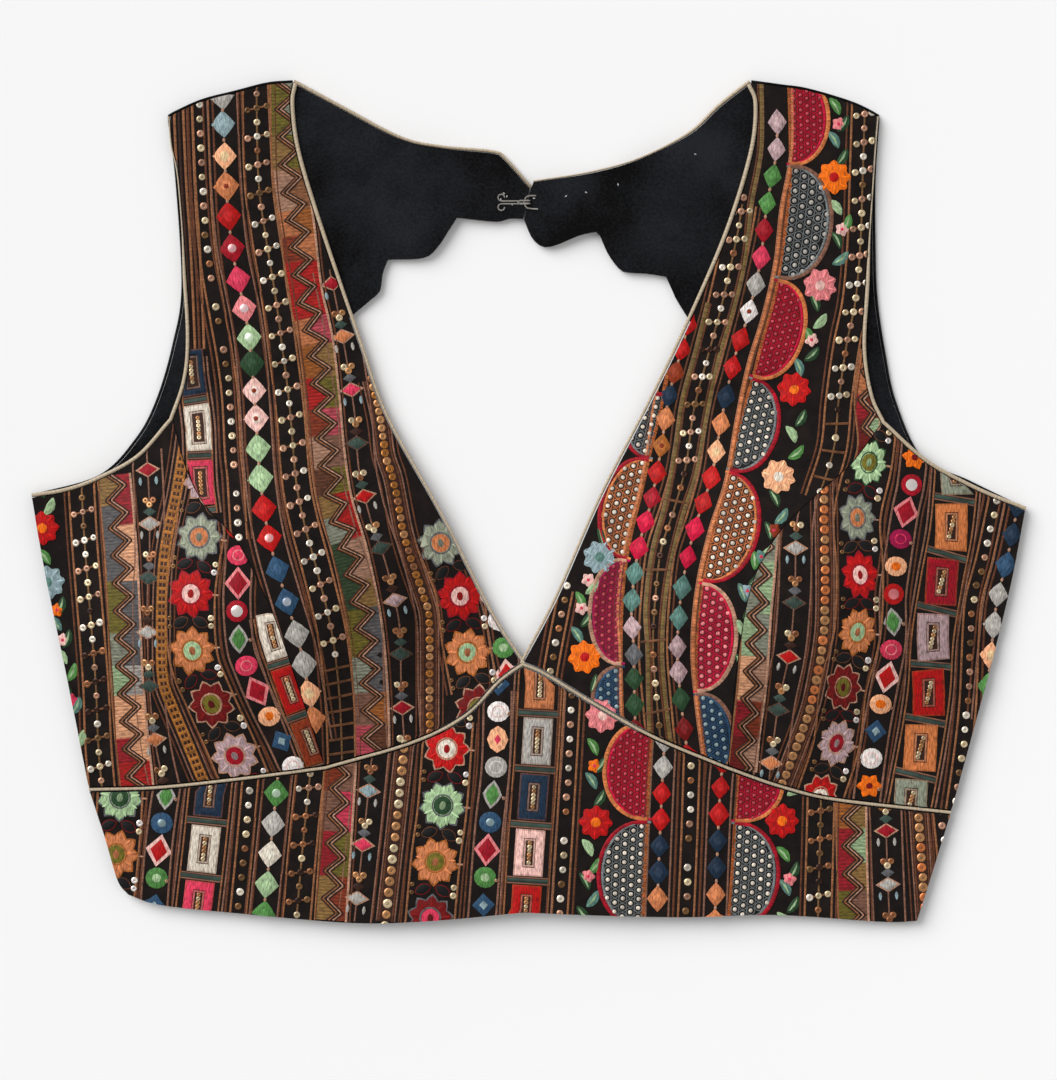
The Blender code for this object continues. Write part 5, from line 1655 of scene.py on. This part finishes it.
bust = join(edge("bust_1", 60), edge("bust_2", 60), edge("bust_3", 60), edge("bust_4", 60))
cord = tube("piping_underbust_cord", np.column_stack([bust, front_height(bust) + UNDERBUST_RADIUS]),
            UNDERBUST_RADIUS * 0.7, PIPING)
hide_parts("piping_underbust")
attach(cord, "root")
for side, turn in (("left", -1), ("right", 1)):
    line = edge("neck_" + side, 200)
    edge_piping("piping_neck_front_" + side, line, turn, PIPING_RADIUS, front_height,
                fullness=ramp(line[:, 1], 20.0, 140.0, 0.56, 0.84))
    strap, lower = edge("strap_" + side, 90)[::-1], edge("lower_" + side, 60)
    line = join(strap, lower[::-1] if side == "left" else lower)
    edge_piping("piping_armhole_front_" + side, line, turn, PIPING_RADIUS, front_height,
                fullness=ramp(line[:, 1], STRAP_TURN_UNDER_Y - 12, STRAP_TURN_UNDER_Y + 18, 0.76, 0.3))
    neck = smooth_curve(BACK_EDGES[side]["neck"], 120) + np.array(BOX_SHIFT)
    edge_piping("piping_neck_back_" + side, neck, -turn, PIPING_RADIUS, on_table,
                fullness=ramp(np.abs(neck[:, 0]), 40.0, 100.0, 0.62 if side == "left" else 0.34, 0.76))
    shoulder = EDGES["shoulder_left"][::-1] if side == "left" else EDGES["shoulder_right"]
    line = join(smooth_curve(shoulder, 30), smooth_curve(BACK_EDGES[side]["armhole"], 110))
    edge_piping("piping_armhole_back_" + side, line + np.array(BOX_SHIFT), turn, ARMHOLE_BACK_RADIUS,
                on_table, LINING)

# %% [markdown]
# The hooks and eyes are right as they are in the frame, and get a wire finish. Cotton stitches hold
# their rings, and a few stray white stitches dot the lining beside them.

# %% Hooks and stitches
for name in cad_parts:
    if name.startswith(("hook", "eye")):
        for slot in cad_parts[name].material_slots:
            slot.material = WIRE

STITCH_SPOTS = [(504, 194), (507, 197), (501, 200), (566, 197), (586, 193), (618, 185), (512, 205),
                (534, 199), (695, 155)]


def cotton_stitches(spots):
    """Small domes of thread, each a stretched and turned oval."""
    places = from_photo(spots)
    turn = rng.uniform(0, math.pi, len(places))
    shape = layer(ellipse(0.6, 0.3, 8), 0, 0.0, 0.4)
    points = shape["points"]
    x = points[None, :, 0] * np.cos(turn)[:, None] - points[None, :, 1] * np.sin(turn)[:, None]
    y = points[None, :, 0] * np.sin(turn)[:, None] + points[None, :, 1] * np.cos(turn)[:, None]
    plan = np.column_stack([(places[:, :1] + x).ravel(), (places[:, 1:] + y).ravel()])
    height = lining_height(plan) + np.tile(points[:, 2], len(places))
    faces = (shape["faces"][None] + (np.arange(len(places)) * len(points))[:, None, None]).reshape(-1, 3)
    return make_object("hook_stitches", np.column_stack([plan, height]), faces.tolist(), [COTTON])


stitches = cotton_stitches(STITCH_SPOTS)
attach(stitches, "root")

# %% [markdown]
# Last, each cloth piece rides on the blouse, and stands for its wall in the frame.

# %% Pieces on the blouse


def declare_sheet(piece, node, area, pieces=()):
    """Hide the frame's wall for the node and attach the piece, and any stitched pieces, to the blouse. area
    is not used.
    """
    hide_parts(node)
    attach(piece, "root")
    for item in pieces:
        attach(item, "root")


for node, (panel, stitched, grid) in PANELS.items():
    declare_sheet(panel, node, surface_area(grid, front_height),
                  stitched)
for node, (cloth, outline, area) in BACKS.items():
    declare_sheet(cloth, node, area)
